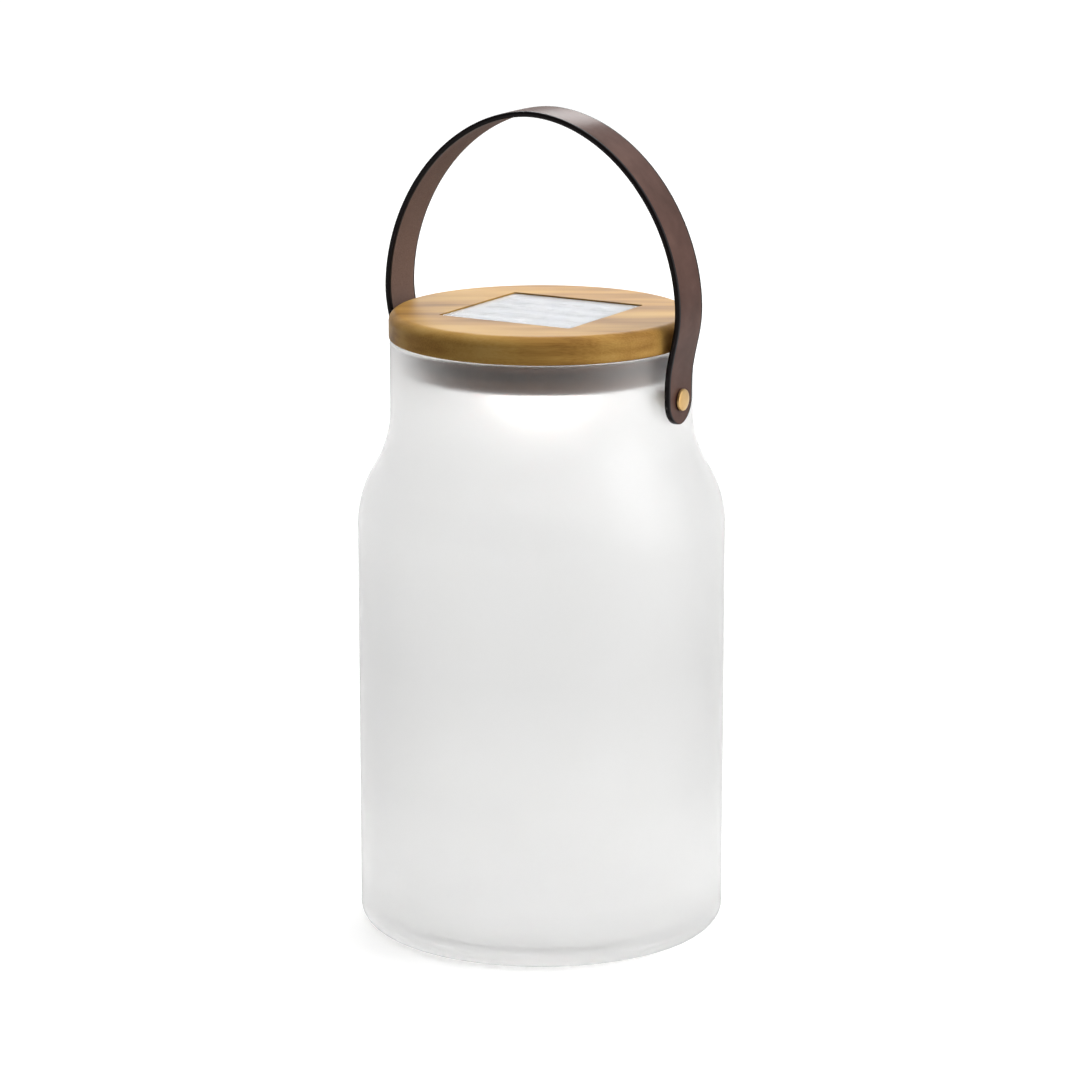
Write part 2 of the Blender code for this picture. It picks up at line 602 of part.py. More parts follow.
def make_ring_fasteners(finishes):
    head_z = RING_Z - GAP
    nut_z = LED_BOARD_Z + LED_BOARD_T + GAP
    for i, (x, y) in enumerate(ring_places(RING_SCREW_COUNT, RING_SCREW_RING_R, 90), 1):
        head = arc(0, head_z, RING_SCREW_HEAD_R, 0, -60, 3)
        end_z = nut_z + RING_NUT_T + RING_SCREW_END
        outline = [(0, end_z), (RING_SCREW_R, end_z), (RING_SCREW_R, head_z)]
        outline += head + [(0, head[-1][1])]
        turned(f"ring_screw_{i}", outline, finishes["steel"], 12, (x, y, 0))
        nut = hexagon(f"ring_nut_{i}", RING_NUT_R, nut_z, nut_z + RING_NUT_T, finishes["steel"],
                      (x, y, 0))
        cut(nut, rod(f"ring_nut_bore_{i}", RING_SCREW_R + GAP, nut_z - PAST,
                     nut_z + RING_NUT_T + PAST, None, 8, (x, y, 0)))


# ---- the battery ----


def spring_points(start_x, end_x):
    """The contact spring's centre line: an open coil along X."""
    count = int(SPRING_TURNS * 8)
    points = []
    for i in range(count + 1):
        share = i / count
        angle = 2 * pi * SPRING_TURNS * share
        points.append((start_x + (end_x - start_x) * share, CELL_Y + SPRING_R * cos(angle),
                       BATTERY_Z + SPRING_R * sin(angle)))
    return points


def make_wire(name, points, radius, material, smooth=True):
    """A round wire through the points, rounded by a curve where smooth is set."""
    route = [Vector(p) for p in points]
    if smooth:
        tangents = [(route[min(i + 1, len(route) - 1)] - route[max(i - 1, 0)])
                    for i in range(len(route))]
        fine = []
        for a, b, ta, tb in zip(route, route[1:], tangents, tangents[1:]):
            reach = (b - a).length
            ta, tb = ta.normalized() * reach, tb.normalized() * reach
            for s in np.linspace(0, 1, 3)[:-1]:
                fine.append((2 * s ** 3 - 3 * s ** 2 + 1) * a + (s ** 3 - 2 * s ** 2 + s) * ta
                            + (3 * s ** 2 - 2 * s ** 3) * b + (s ** 3 - s ** 2) * tb)
        route = fine + [route[-1]]
    curve = bpy.data.curves.new(name, "CURVE")
    curve.dimensions = "3D"
    spline = curve.splines.new("POLY")
    spline.points.add(len(route) - 1)
    for target, point in zip(spline.points, route):
        target.co = (*point, 1)
    curve.bevel_depth = radius
    curve.bevel_resolution = 1
    curve.use_fill_caps = True
    curve.materials.append(material)
    wire = bpy.data.objects.new(name, curve)
    bpy.context.scene.collection.objects.link(wire)
    return wire


def make_battery(finishes):
    base_z = PLUG_FLOOR_Z + GAP
    end_x = HOLDER_HALF_X - HOLDER_WALL
    holder = block("battery_holder", (-HOLDER_HALF_X, CELL_Y - HOLDER_HALF_Y, base_z),
                   (HOLDER_HALF_X, CELL_Y + HOLDER_HALF_Y, HOLDER_TOP_Z),
                   finishes["black_plastic"])
    tray_half_y = HOLDER_HALF_Y - HOLDER_SIDE_WALL
    tray = block("holder_tray", (-end_x, CELL_Y - tray_half_y, base_z + HOLDER_BASE_T),
                 (end_x, CELL_Y + tray_half_y, HOLDER_TOP_Z + PAST), None)
    cut(holder, tray)
    side_y = CELL_Y - HOLDER_HALF_Y
    for i, x in enumerate((-end_x, end_x), 1):
        notch = block(f"holder_notch_{i}", (x - NOTCH_HALF, side_y - PAST, NOTCH_Z),
                      (x + NOTCH_HALF, side_y + NOTCH_HALF, HOLDER_TOP_Z + PAST), None)
        cut(holder, notch)

    half = BATTERY_LENGTH / 2
    outline = [(0, -half), (BATTERY_R - BATTERY_EDGE, -half), (BATTERY_R, -half + BATTERY_EDGE),
               (BATTERY_R, half - BATTERY_SHOULDER), (BATTERY_R - BATTERY_EDGE, half - NUB_LENGTH),
               (NUB_R, half - NUB_LENGTH), (NUB_R, half), (0, half)]
    turned("battery_cell", outline, finishes["battery_sleeve"], 20, (0, CELL_Y, BATTERY_Z), "X")

    plate_x = end_x - GAP
    plate_z = base_z + HOLDER_BASE_T + GAP
    block("contact_plate", (plate_x - PLATE_T, CELL_Y - PLATE_HALF_Y, plate_z),
          (plate_x, CELL_Y + PLATE_HALF_Y, HOLDER_TOP_Z - PLATE_SHORT), finishes["steel"])
    spring = spring_points(-plate_x + SPRING_WIRE_R, -half - SPRING_WIRE_R - GAP)
    make_wire("contact_spring", spring, SPRING_WIRE_R, finishes["steel"], smooth=False)


# ---- the charge board and the switch ----


def make_charge_board(finishes):
    board_z = POST_TOP_Z + GAP
    top = board_z + BOARD_T
    board = block("charge_board", (-BOARD_HALF_X, BOARD_Y - BOARD_HALF_Y, board_z),
                  (BOARD_HALF_X, BOARD_Y + BOARD_HALF_Y, top), finishes["circuit_board"])
    for i, x in enumerate((-POST_X, POST_X), 1):
        cut(board, rod(f"board_screw_hole_{i}", BOARD_SCREW_R + GAP, board_z - PAST, top + PAST,
                       None, 8, (x, BOARD_Y, 0)))
        seat_z = top + GAP
        head_z = top + BOARD_SCREW_HEAD_T
        outline = [(0, head_z), (BOARD_SCREW_HEAD_R * 0.6, head_z),
                   (BOARD_SCREW_HEAD_R, (seat_z + head_z) / 2), (BOARD_SCREW_HEAD_R, seat_z),
                   (BOARD_SCREW_R, seat_z), (BOARD_SCREW_R, board_z - BOARD_SCREW_LENGTH * 0.88),
                   (0, board_z - BOARD_SCREW_LENGTH)]
        turned(f"board_screw_{i}", outline, finishes["steel"], 10, (x, BOARD_Y, 0))
    on_board = Vector((0, BOARD_Y, top + GAP))
    block("charge_chip", on_board + CHIP_LOW, on_board + CHIP_HIGH, finishes["black_plastic"])


def make_switch(finishes):
    """A slider whose stem comes down through the plug's floor, under a plain switch body."""
    switch_axis = bpy.data.objects.new("switch_axis", None)
    switch_axis.location = (SWITCH_X, BOARD_Y, PLUG_Z)
    bpy.context.scene.collection.objects.link(switch_axis)
    stem_top = PLUG_FLOOR_Z + GAP + KNOB_FLANGE_T / 2 - PLUG_Z
    knob = block("power_switch", (-KNOB_HALF_X, -KNOB_HALF_Y, KNOB_Z - PLUG_Z),
                 (KNOB_HALF_X, KNOB_HALF_Y, stem_top), finishes["white_plastic"])
    knob.parent = switch_axis
    flange = block("switch_flange", (-KNOB_HALF_X - KNOB_FLANGE, -KNOB_HALF_Y - KNOB_FLANGE,
                                     PLUG_FLOOR_Z + GAP - PLUG_Z),
                   (KNOB_HALF_X + KNOB_FLANGE, KNOB_HALF_Y + KNOB_FLANGE,
                    PLUG_FLOOR_Z + GAP + KNOB_FLANGE_T - PLUG_Z), None)
    flange.parent = switch_axis
    join(knob, flange)
    body_z = PLUG_FLOOR_Z + 2 * GAP + KNOB_FLANGE_T
    block("switch_body", (-SWITCH_BODY_HALF_X, BOARD_Y - SWITCH_BODY_HALF_Y, body_z),
          (SWITCH_BODY_HALF_X, BOARD_Y + SWITCH_BODY_HALF_Y, SWITCH_BODY_TOP_Z),
          finishes["black_plastic"])


def make_wires(finishes):
    """Two wires from the panel, two from the battery and two to the lights."""
    board_top = POST_TOP_Z + GAP + BOARD_T + GAP + WIRE_R
    led_top = LED_BOARD_Z + LED_BOARD_T + GAP + WIRE_R
    holder_end = HOLDER_HALF_X - HOLDER_WALL - PLATE_T - 2 * GAP - WIRE_R
    for colour, sign in (("red", 1), ("black", -1)):
        material = finishes[f"{colour}_wire"]
        make_wire(f"panel_wire_{colour}",
                  [(0.0018 * sign, 0, RECESS_Z - WIRE_R / 2), (0.0018 * sign, 0, 0.2715),
                   (0.0022 * sign, -0.0040, 0.2670), (0.0060 * sign, -0.0220, 0.2652),
                   (0.0085 * sign, -0.0400, board_top)], WIRE_R, material)
        make_wire(f"led_wire_{colour}",
                  [(0.0050 * sign, -0.0200, led_top), (0.0080 * sign, -0.0260, 0.2620),
                   (0.0110 * sign, -0.0330, 0.2640), (0.0125 * sign, -0.0405, board_top)],
                  WIRE_R, material)
        make_wire(f"battery_wire_{colour}",
                  [(holder_end * sign, 0.0370, 0.2655), (0.0270 * sign, 0.0270, 0.2640),
                   (0.0320 * sign, 0.0, 0.2620), (0.0280 * sign, -0.0240, 0.2620),
                   (0.0215 * sign, -0.0365, 0.2645), (0.0205 * sign, -0.0425, board_top)],
                  WIRE_R, material)


def clear_scene():
    for obj in list(bpy.data.objects):
        bpy.data.objects.remove(obj, do_unlink=True)


def main():
    clear_scene()
    finishes = make_finishes()
    handle_axis = bpy.data.objects.new("handle_axis", None)
    handle_axis.location = (0, 0, PIVOT_Z)
    bpy.context.scene.collection.objects.link(handle_axis)
    make_jar(finishes)
    for side, sign in (("right", 1), ("left", -1)):
        make_stud(side, sign, finishes, handle_axis)
    make_strap(finishes, handle_axis)
    make_wooden_lid(finishes)
    make_solar_panel(finishes)
    make_plug(finishes)
    make_lid_screws(finishes)
    make_led_board(finishes)
    make_reflector(finishes)
    make_lens_ring(finishes)
    make_diffuser(finishes)
    make_ring_fasteners(finishes)
    make_battery(finishes)
    make_charge_board(finishes)
    make_switch(finishes)
    make_wires(finishes)


main()
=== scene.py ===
# %% [markdown]
# # A solar lantern in a frosted mason jar
#
# The lantern is a frosted glass jar with a bamboo stopper lid, a square solar panel let into the lid
# and a leather strap that swings on two brass studs. A CAD model already fixes every size, joint and
# place. This lesson gives it its looks: it loads that model as a frame, builds finer pieces in the
# same places, and gives each one a material made from nodes.

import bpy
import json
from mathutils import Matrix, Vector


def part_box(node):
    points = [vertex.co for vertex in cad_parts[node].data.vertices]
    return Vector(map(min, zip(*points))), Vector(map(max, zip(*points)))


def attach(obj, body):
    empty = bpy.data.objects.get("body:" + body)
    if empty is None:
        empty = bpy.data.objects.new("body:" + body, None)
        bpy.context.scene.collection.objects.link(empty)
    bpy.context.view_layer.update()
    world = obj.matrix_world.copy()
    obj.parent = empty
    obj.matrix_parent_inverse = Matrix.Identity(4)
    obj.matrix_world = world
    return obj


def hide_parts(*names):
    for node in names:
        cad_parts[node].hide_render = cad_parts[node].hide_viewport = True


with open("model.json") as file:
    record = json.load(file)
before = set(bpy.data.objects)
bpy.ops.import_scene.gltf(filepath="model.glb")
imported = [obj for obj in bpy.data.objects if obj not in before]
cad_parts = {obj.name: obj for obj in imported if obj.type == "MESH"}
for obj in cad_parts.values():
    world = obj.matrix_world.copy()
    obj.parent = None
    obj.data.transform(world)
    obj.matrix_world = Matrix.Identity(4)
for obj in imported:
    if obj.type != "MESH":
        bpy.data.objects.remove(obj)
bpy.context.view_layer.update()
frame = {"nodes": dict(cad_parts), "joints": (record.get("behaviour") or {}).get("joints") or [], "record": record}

# %% Names used all through
import json
from math import acos, cos, degrees, hypot, pi, radians, sin

import bmesh
import bpy
import numpy as np
from mathutils import Vector

MM = 0.001
scene = bpy.context.scene
joints = {joint["name"]: joint for joint in frame["joints"]}

# %% [markdown]
# ## Where things are
#
# Every place comes from the frame. The jar's box gives its radius and its height, the handle's joint
# gives the line that the strap turns on, and a node's box gives each small piece's place.


# %% Measure the frame
def low(node):
    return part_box(node)[0]


def high(node):
    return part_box(node)[1]


def middle(node):
    return (low(node) + high(node)) / 2


body_r = high("glass_jar").x
rim_z = high("glass_jar").z
pivot_z = joints["handle_swing"]["pos_m"][2]
lid_r = high("wooden_lid").x
lid_low_z = low("wooden_lid").z
lid_top_z = high("wooden_lid").z
print(f"jar {2 * body_r / MM:.1f} mm across, {rim_z / MM:.1f} mm high, pivot at {pivot_z / MM:.1f} mm")

# %% [markdown]
# ## Camera
#
# A long lens from a little above and to one side keeps the jar's sides straight. The camera looks at
# a point on the jar's axis, so its place follows from an angle round the axis, an angle above the
# table and a distance.

# %% Camera
AZIMUTH = radians(30)
ELEVATION = radians(13.4)
CAMERA_DISTANCE = 1.89
AIM = Vector((0, 0, 0.176))


def direction(azimuth, elevation):
    """A unit vector from the object towards a place given by its angles."""
    flat = cos(elevation)
    return Vector((sin(azimuth) * flat, -cos(azimuth) * flat, sin(elevation)))


camera = bpy.data.objects.new("camera", bpy.data.cameras.new("camera"))
scene.collection.objects.link(camera)
scene.camera = camera
camera.data.sensor_width = 36
camera.data.lens = 140
camera.data.shift_x = -0.0014
camera.location = AIM + CAMERA_DISTANCE * direction(AZIMUTH, ELEVATION)
camera.rotation_euler = (AIM - camera.location).to_track_quat("-Z", "Y").to_euler()
print("camera at", [round(c, 3) for c in camera.location])

# %% [markdown]
# ## One function for nodes, one for colours
#
# Every material here is a small network of nodes. A colour is written as the hex code that a paint
# program shows, and turned to the linear values that light is worked out in. Real surfaces are never
# one flat colour or gloss, so a second function gives each finish its tones, roughness and relief.


# %% Colour and node helpers
def linear(hex_code):
    """The linear RGBA of an sRGB hex code."""
    parts = [int(hex_code[i:i + 2], 16) / 255 for i in (0, 2, 4)]
    return [c / 12.92 if c <= 0.04045 else ((c + 0.055) / 1.055) ** 2.4 for c in parts] + [1.0]


def add(tree, kind, inputs=None, stops=(), **settings):
    """Adds a node, sets its properties and colour stops, and fills its inputs with values or links."""
    node = tree.nodes.new(kind)
    for name, value in settings.items():
        setattr(node, name, value)
    for name, value in (inputs or {}).items():
        socket = node.inputs[name]
        if isinstance(value, bpy.types.NodeSocket):
            tree.links.new(value, socket)
        else:
            socket.default_value = value
    if stops:
        elements = node.color_ramp.elements
        while len(elements) < len(stops):
            elements.new(0.5)
        for element, (position, colour) in zip(elements, stops):
            element.position = position
            element.color = linear(colour)
    return node


def new_material(name, **sockets):
    """A Principled material. Values that are the same all over are set on the shader itself."""
    material = bpy.data.materials.new(name)
    material.use_nodes = True
    shader = material.node_tree.nodes["Principled BSDF"]
    for socket, value in sockets.items():
        shader.inputs[socket.replace("_", " ")].default_value = value
    return material, material.node_tree, shader


def surface(tree, shader, tone, stops, uneven, rough, relief=None, strength=0.0, depth=0.0):
    """What every finish here has: close tones, an uneven roughness and, on most, a fine relief."""
    tint = add(tree, "ShaderNodeValToRGB", {"Fac": tone}, stops=stops)
    between = add(tree, "ShaderNodeMapRange", {"Value": uneven, "To Min": rough[0],
                                               "To Max": rough[1]})
    tree.links.new(tint.outputs["Color"], shader.inputs["Base Color"])
    tree.links.new(between.outputs["Result"], shader.inputs["Roughness"])
    if relief is not None:
        bump = add(tree, "ShaderNodeBump", {"Height": relief, "Strength": strength,
                                            "Distance": depth})
        tree.links.new(bump.outputs["Normal"], shader.inputs["Normal"])


print("mid grey, linear:", round(linear("808080")[0], 3))

# %% [markdown]
# ## Studio
#
# The room is white paper lit from above and behind, and darker on the camera's side and to its left.
# That is what draws the dark edge of the lid and keeps the frosted glass bright, because light comes
# through it from behind. So the world's strength is worked out from two things: how far a direction
# points to the dark side of the room, and how high it is. The camera itself sees plain white.

# %% World
world = bpy.data.worlds.new("studio")
scene.world = world
world.use_nodes = True
sky = world.node_tree
sky.nodes.clear()
DARK_SIDE = direction(radians(-8), 0)
WHITE_WALL, DARK_WALL = 0.75, 0.04
DARK_FROM, DARK_FULL = 0.0, 0.85  # where the wall starts to darken, and where it is darkest
CEILING_FROM, CEILING_FULL = 0.2, 0.9  # the same for the height at which the ceiling takes over
CEILING = 1.9  # how much brighter the ceiling is than the wall behind
where = add(sky, "ShaderNodeTexCoord")
facing = add(sky, "ShaderNodeVectorMath", {0: where.outputs["Generated"], 1: DARK_SIDE},
             operation="DOT_PRODUCT")
wall = add(sky, "ShaderNodeMapRange", {"Value": facing.outputs["Value"], "From Min": DARK_FROM,
                                       "From Max": DARK_FULL, "To Min": WHITE_WALL,
                                       "To Max": DARK_WALL}, interpolation_type="SMOOTHSTEP")
axes = add(sky, "ShaderNodeSeparateXYZ", {"Vector": where.outputs["Generated"]})
lift = add(sky, "ShaderNodeMapRange", {"Value": axes.outputs["Z"], "From Min": CEILING_FROM,
                                       "From Max": CEILING_FULL, "To Min": 1.0,
                                       "To Max": CEILING})
shade = add(sky, "ShaderNodeMath", {0: wall.outputs["Result"], 1: lift.outputs["Result"]},
            operation="MULTIPLY")
seen = add(sky, "ShaderNodeLightPath")
light_sky = add(sky, "ShaderNodeBackground", {"Color": linear("ffffff"),
                                              "Strength": shade.outputs[0]})
plain_sky = add(sky, "ShaderNodeBackground", {"Color": linear("ffffff"), "Strength": 1.0})
either = add(sky, "ShaderNodeMixShader", {0: seen.outputs["Is Camera Ray"],
                                          1: light_sky.outputs[0], 2: plain_sky.outputs[0]})
add(sky, "ShaderNodeOutputWorld", {"Surface": either.outputs[0]})
scene.view_settings.view_transform = "Standard"
print("world: white above and behind, grey in front")

# %% [markdown]
# Light reaches the eye through two walls of rough glass, and bounces about inside the jar on its way.
# A path that is cut short or clamped comes back dark, which turns the foot and the edges grey. So the
# paths get many bounces, and neither a clamp nor a blur.

# %% Light paths
BOUNCES = 24
scene.cycles.sample_clamp_indirect = 0
scene.cycles.blur_glossy = 0
for kind in ("max_bounces", "transmission_bounces", "glossy_bounces"):
    setattr(scene.cycles, kind, BOUNCES)
print("bounces:", scene.cycles.max_bounces)

# %% [markdown]
# Four soft boxes stand round the lantern: a wide, dim one behind it, one at its right, one overhead,
# and a small, bright one high behind that puts the gloss on the top of the strap.


# %% Soft boxes
def soft_box(name, azimuth, elevation, distance, width, height, brightness, target):
    """An area light aimed at a point. A brightness of 1 looks as bright as white paper."""
    light = bpy.data.lights.new(name, "AREA")
    light.shape = "RECTANGLE"
    light.size = width
    light.size_y = height
    light.energy = brightness * pi * width * height
    box = bpy.data.objects.new(name, light)
    box.location = target + distance * direction(radians(azimuth), radians(elevation))
    box.rotation_euler = (target - box.location).to_track_quat("-Z", "Y").to_euler()
    box.visible_camera = False
    scene.collection.objects.link(box)
    return box


LID_MIDDLE = Vector((0, 0, lid_top_z))
# name, angle round, angle up, distance, width, height, brightness, target
soft_box("box_behind", 210, 10.5, 4.6, 4.4, 1.3, 0.15, LID_MIDDLE)
soft_box("box_right", 102, 14, 1.5, 1.1, 1.6, 2.5, AIM)
soft_box("box_over", 160, 60, 1.3, 0.8, 0.8, 2.2, LID_MIDDLE)
soft_box("box_high", 208, 24, 2.5, 1.0, 0.55, 7.0, LID_MIDDLE)

# %% [markdown]
# The table is white paper. Light that bounces off it would also light the lantern's sides from below,
# so to diffuse rays it is a grey card. It glows a little, and more to the camera, so it stays white.

# %% Table
TABLE_BOUNCE = "606060"
GLOW_TO_ALL, GLOW_TO_CAMERA = 0.15, 0.14
PAPER_GRAIN = 40.0  # across the whole table
TABLE_R = 9
paper, paper_tree, paper_shader = new_material("white_paper", Roughness=0.9,
                                                Emission_Color=linear("ffffff"))
grain = add(paper_tree, "ShaderNodeTexNoise", {"Scale": PAPER_GRAIN, "Detail": 3.0})
white = add(paper_tree, "ShaderNodeValToRGB", {"Fac": grain.outputs["Fac"]},
            stops=[(0.3, "e4e4e3"), (0.7, "e8e8e8")])
ray = add(paper_tree, "ShaderNodeLightPath")
lit = add(paper_tree, "ShaderNodeMix", {"Factor": ray.outputs["Is Diffuse Ray"],
                                        "A": white.outputs["Color"],
                                        "B": linear(TABLE_BOUNCE)}, data_type="RGBA")
glow = add(paper_tree, "ShaderNodeMath", {0: ray.outputs["Is Camera Ray"], 1: GLOW_TO_CAMERA,
                                          2: GLOW_TO_ALL}, operation="MULTIPLY_ADD")
paper_tree.links.new(lit.outputs["Result"], paper_shader.inputs["Base Color"])
paper_tree.links.new(glow.outputs[0], paper_shader.inputs["Emission Strength"])
bpy.ops.mesh.primitive_circle_add(vertices=96, radius=TABLE_R, fill_type="NGON")
table = bpy.context.object
table.name = "table"
table.data.materials.append(paper)
print("table:", table.name)

# %% [markdown]
# ## Making and finishing pieces
#
# A turned piece is an outline of radius and height spun round the axis. A hole is a Boolean whose
# result is stored as a plain mesh, because a finished piece keeps no helpers. Each finished piece
# then says the body it moves with and the CAD nodes that it stands for.


# %% Mesh helpers
def arc(centre_r, centre_z, radius, start, end, steps):
    """Points (radius, height) of an arc, in degrees from start to end."""
    return [(centre_r + radius * cos(a), centre_z + radius * sin(a))
            for a in np.radians(np.linspace(start, end, steps + 1))]


def make_object(name, bm, materials=(), merge=1e-7):
    """Stores a bmesh as an object, with its double points merged and its faces outwards."""
    bmesh.ops.remove_doubles(bm, verts=bm.verts, dist=merge)
    bmesh.ops.recalc_face_normals(bm, faces=bm.faces)
    mesh = bpy.data.meshes.new(name)
    bm.to_mesh(mesh)
    bm.free()
    for material in materials:
        mesh.materials.append(material)
    obj = bpy.data.objects.new(name, mesh)
    scene.collection.objects.link(obj)
    return obj


def smooth(obj, angle=35):
    """Smooth shading that stays flat on flat faces: big faces outweigh the bevels beside them."""
    obj.data.shade_smooth()
    obj.data.set_sharp_from_angle(angle=radians(angle))
    weighted = obj.modifiers.new("weighted_normals", "WEIGHTED_NORMAL")
    weighted.keep_sharp = True
    return plain_mesh(obj)


def spin(name, outline, steps, materials=(), zones=None, along=None, centre=(0, 0, 0)):
    """Spins a closed outline about Z, and lays it along another direction if one is given."""
    count = len(outline)
    angles = np.linspace(0, 2 * pi, steps, endpoint=False)
    points = [(r * cos(a), r * sin(a), z) for a in angles for r, z in outline]
    bm = bmesh.new()
    verts = [bm.verts.new(p) for p in points]
    for i in range(steps):
        j = (i + 1) % steps
        for k in range(count):
            m = (k + 1) % count
            corners = [verts[i * count + k], verts[j * count + k], verts[j * count + m],
                       verts[i * count + m]]
            if outline[k][0] == 0:
                corners.pop(1)
            if outline[m][0] == 0:
                corners.pop(-1)
            if len(corners) > 2:
                face = bm.faces.new(corners)
                face.material_index = zones[k] if zones else 0
    if along:
        turn = Vector((0, 0, 1)).rotation_difference(Vector(along)).to_matrix()
        bmesh.ops.rotate(bm, verts=bm.verts, cent=(0, 0, 0), matrix=turn)
    bmesh.ops.translate(bm, verts=bm.verts, vec=centre)
    return make_object(name, bm, materials)


def plain_mesh(obj):
    """Replaces an object's mesh by its evaluated one and drops its modifiers."""
    graph = bpy.context.evaluated_depsgraph_get()
    result = bpy.data.meshes.new_from_object(obj.evaluated_get(graph))
    obj.modifiers.clear()
    obj.data = result
    return obj


def carve(target, *tools, operation="DIFFERENCE"):
    """Cuts each tool out of the target, or joins it on, and removes the tools."""
    for tool in tools:
        modifier = target.modifiers.new("carve", "BOOLEAN")
        modifier.operation = operation
        modifier.object = tool
    plain_mesh(target)
    for tool in tools:
        bpy.data.objects.remove(tool)
    return target


def slab(name, lowest, highest, round_r=0.0, materials=()):
    """A box between two corners, its upright edges rounded."""
    bm = bmesh.new()
    bmesh.ops.create_cube(bm, size=1)
    lowest, highest = Vector(lowest), Vector(highest)
    bmesh.ops.scale(bm, vec=highest - lowest, verts=bm.verts)
    bmesh.ops.translate(bm, vec=(lowest + highest) / 2, verts=bm.verts)
    if round_r:
        upright = [e for e in bm.edges if abs(e.verts[0].co.z - e.verts[1].co.z) > 1e-6]
        bmesh.ops.bevel(bm, geom=upright, offset=round_r, segments=6, affect="EDGES", profile=0.5)
    return make_object(name, bm, materials)


made = []


def piece(obj, body, slot, *replaced):
    """Declares a finished piece."""
    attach(obj, body)
    if replaced:
        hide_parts(*replaced)
    made.append(obj.name)
    print(f"{obj.name}: {len(obj.data.polygons)} faces, rides on {body}")
    return obj


# %% [markdown]
# ## Frosted glass
#
# The jar is pressed soda-lime glass, etched with acid on the outside and smooth inside. Etching
# leaves pits of a few hundredths of a millimetre that scatter light, so what touches the glass shows
# and what is further off melts away. Real glass with a rough surface does this by itself: the shader
# lets light through and bends it, and the roughness blurs it. The lip is fire-polished, so it is
# clear and catches a bright line; here the clear glass covers only its inner half.

# %% Glass
GLASS_IOR = 1.5
ETCH_PATCH = 22 * MM  # size of the cloudy patches that hand dipping leaves
ETCH_GRIT = 0.9 * MM  # real pits are far finer; this is as coarse as a close look shows
ETCH_ROUGH = (0.48, 0.54)
PATCH_DRIFT = 0.04  # how far a cloudy patch moves the tint, as a share of the jar's height
# The glass's tint, with painted shade darker half-way up: (share of the jar's height, tint).
TINT_AND_PAINTED_SHADE_BY_HEIGHT = [(0.02, "dfdfdf"), (0.12, "ebebeb"), (0.30, "d8d8d8"), (0.50, "d3d3d3"),
                  (0.68, "dcdcdc"), (0.86, "ebebeb"), (1.0, "ededed")]
PRESS_WAVE = 14 * MM  # the faint waves that a mould leaves


def etched_glass():
    material, tree, shader = new_material("acid_etched_glass", Transmission_Weight=0.98,
                                           IOR=GLASS_IOR, Specular_IOR_Level=0.25)
    place = add(tree, "ShaderNodeTexCoord").outputs["Object"]
    patches = add(tree, "ShaderNodeTexNoise", {"Vector": place, "Scale": 1 / ETCH_PATCH,
                                               "Detail": 2.0})
    grit = add(tree, "ShaderNodeTexNoise", {"Vector": place, "Scale": 1 / ETCH_GRIT, "Detail": 2.0})
    axes = add(tree, "ShaderNodeSeparateXYZ", {"Vector": place})
    # The tint follows the height: painted shade, darkest half-way up and lighter at the neck and foot.
    level = add(tree, "ShaderNodeMath", {0: axes.outputs["Z"], 1: rim_z}, operation="DIVIDE")
    depth = add(tree, "ShaderNodeMath", {0: patches.outputs["Fac"], 1: PATCH_DRIFT,
                                         2: level.outputs[0]}, operation="MULTIPLY_ADD")
    surface(tree, shader, depth.outputs[0], TINT_AND_PAINTED_SHADE_BY_HEIGHT, patches.outputs["Fac"], ETCH_ROUGH,
            grit.outputs["Fac"], 0.25, 0.03 * MM)
    return material


def smooth_glass():
    """The inside, and the inner half of the fire-polished lip: clear, with the faint waves of pressed glass."""
    material, tree, shader = new_material("pressed_glass", Transmission_Weight=1.0, IOR=GLASS_IOR)
    place = add(tree, "ShaderNodeTexCoord").outputs["Object"]
    waves = add(tree, "ShaderNodeTexNoise", {"Vector": place, "Scale": 1 / PRESS_WAVE,
                                             "Detail": 1.0}).outputs["Fac"]
    surface(tree, shader, waves, [(0.3, "fbfbfa"), (0.7, "ffffff")], waves, (0.04, 0.10),
            waves, 0.3, 0.2 * MM)
    return material


frosted = etched_glass()
clear_glass = smooth_glass()
print("glass:", frosted.name, clear_glass.name)

# %% [markdown]
# ## The jar
#
# A jar is a turned shape, so its rule is an outline and a full turn. Geometry Nodes can do that turn:
# the outline becomes a curve, and Curve to Mesh carries it round a circle. The outline itself is
# straight runs and arcs: a hollow under the base, a rounded foot, the straight body, two arcs that
# make the shoulder's S, the neck and the round lip, then the same again inside.

# %% Jar outline
WALL = 3.2 * MM
LIP_R = WALL / 2
NECK_R = 67.6 * MM
SHOULDER_TOP_Z = 237 * MM
NECK_SWEEP_R = 52 * MM
SHOULDER_SWEEP_R = 49 * MM
FOOT_R = 8 * MM
STANDING_IN_R = 64 * MM
PUNT_Z = 2.5 * MM  # the hollow under the base
FLOOR_Z = 7 * MM
FLOOR_CORNER_R = 6 * MM
JAR_SIDES = 224


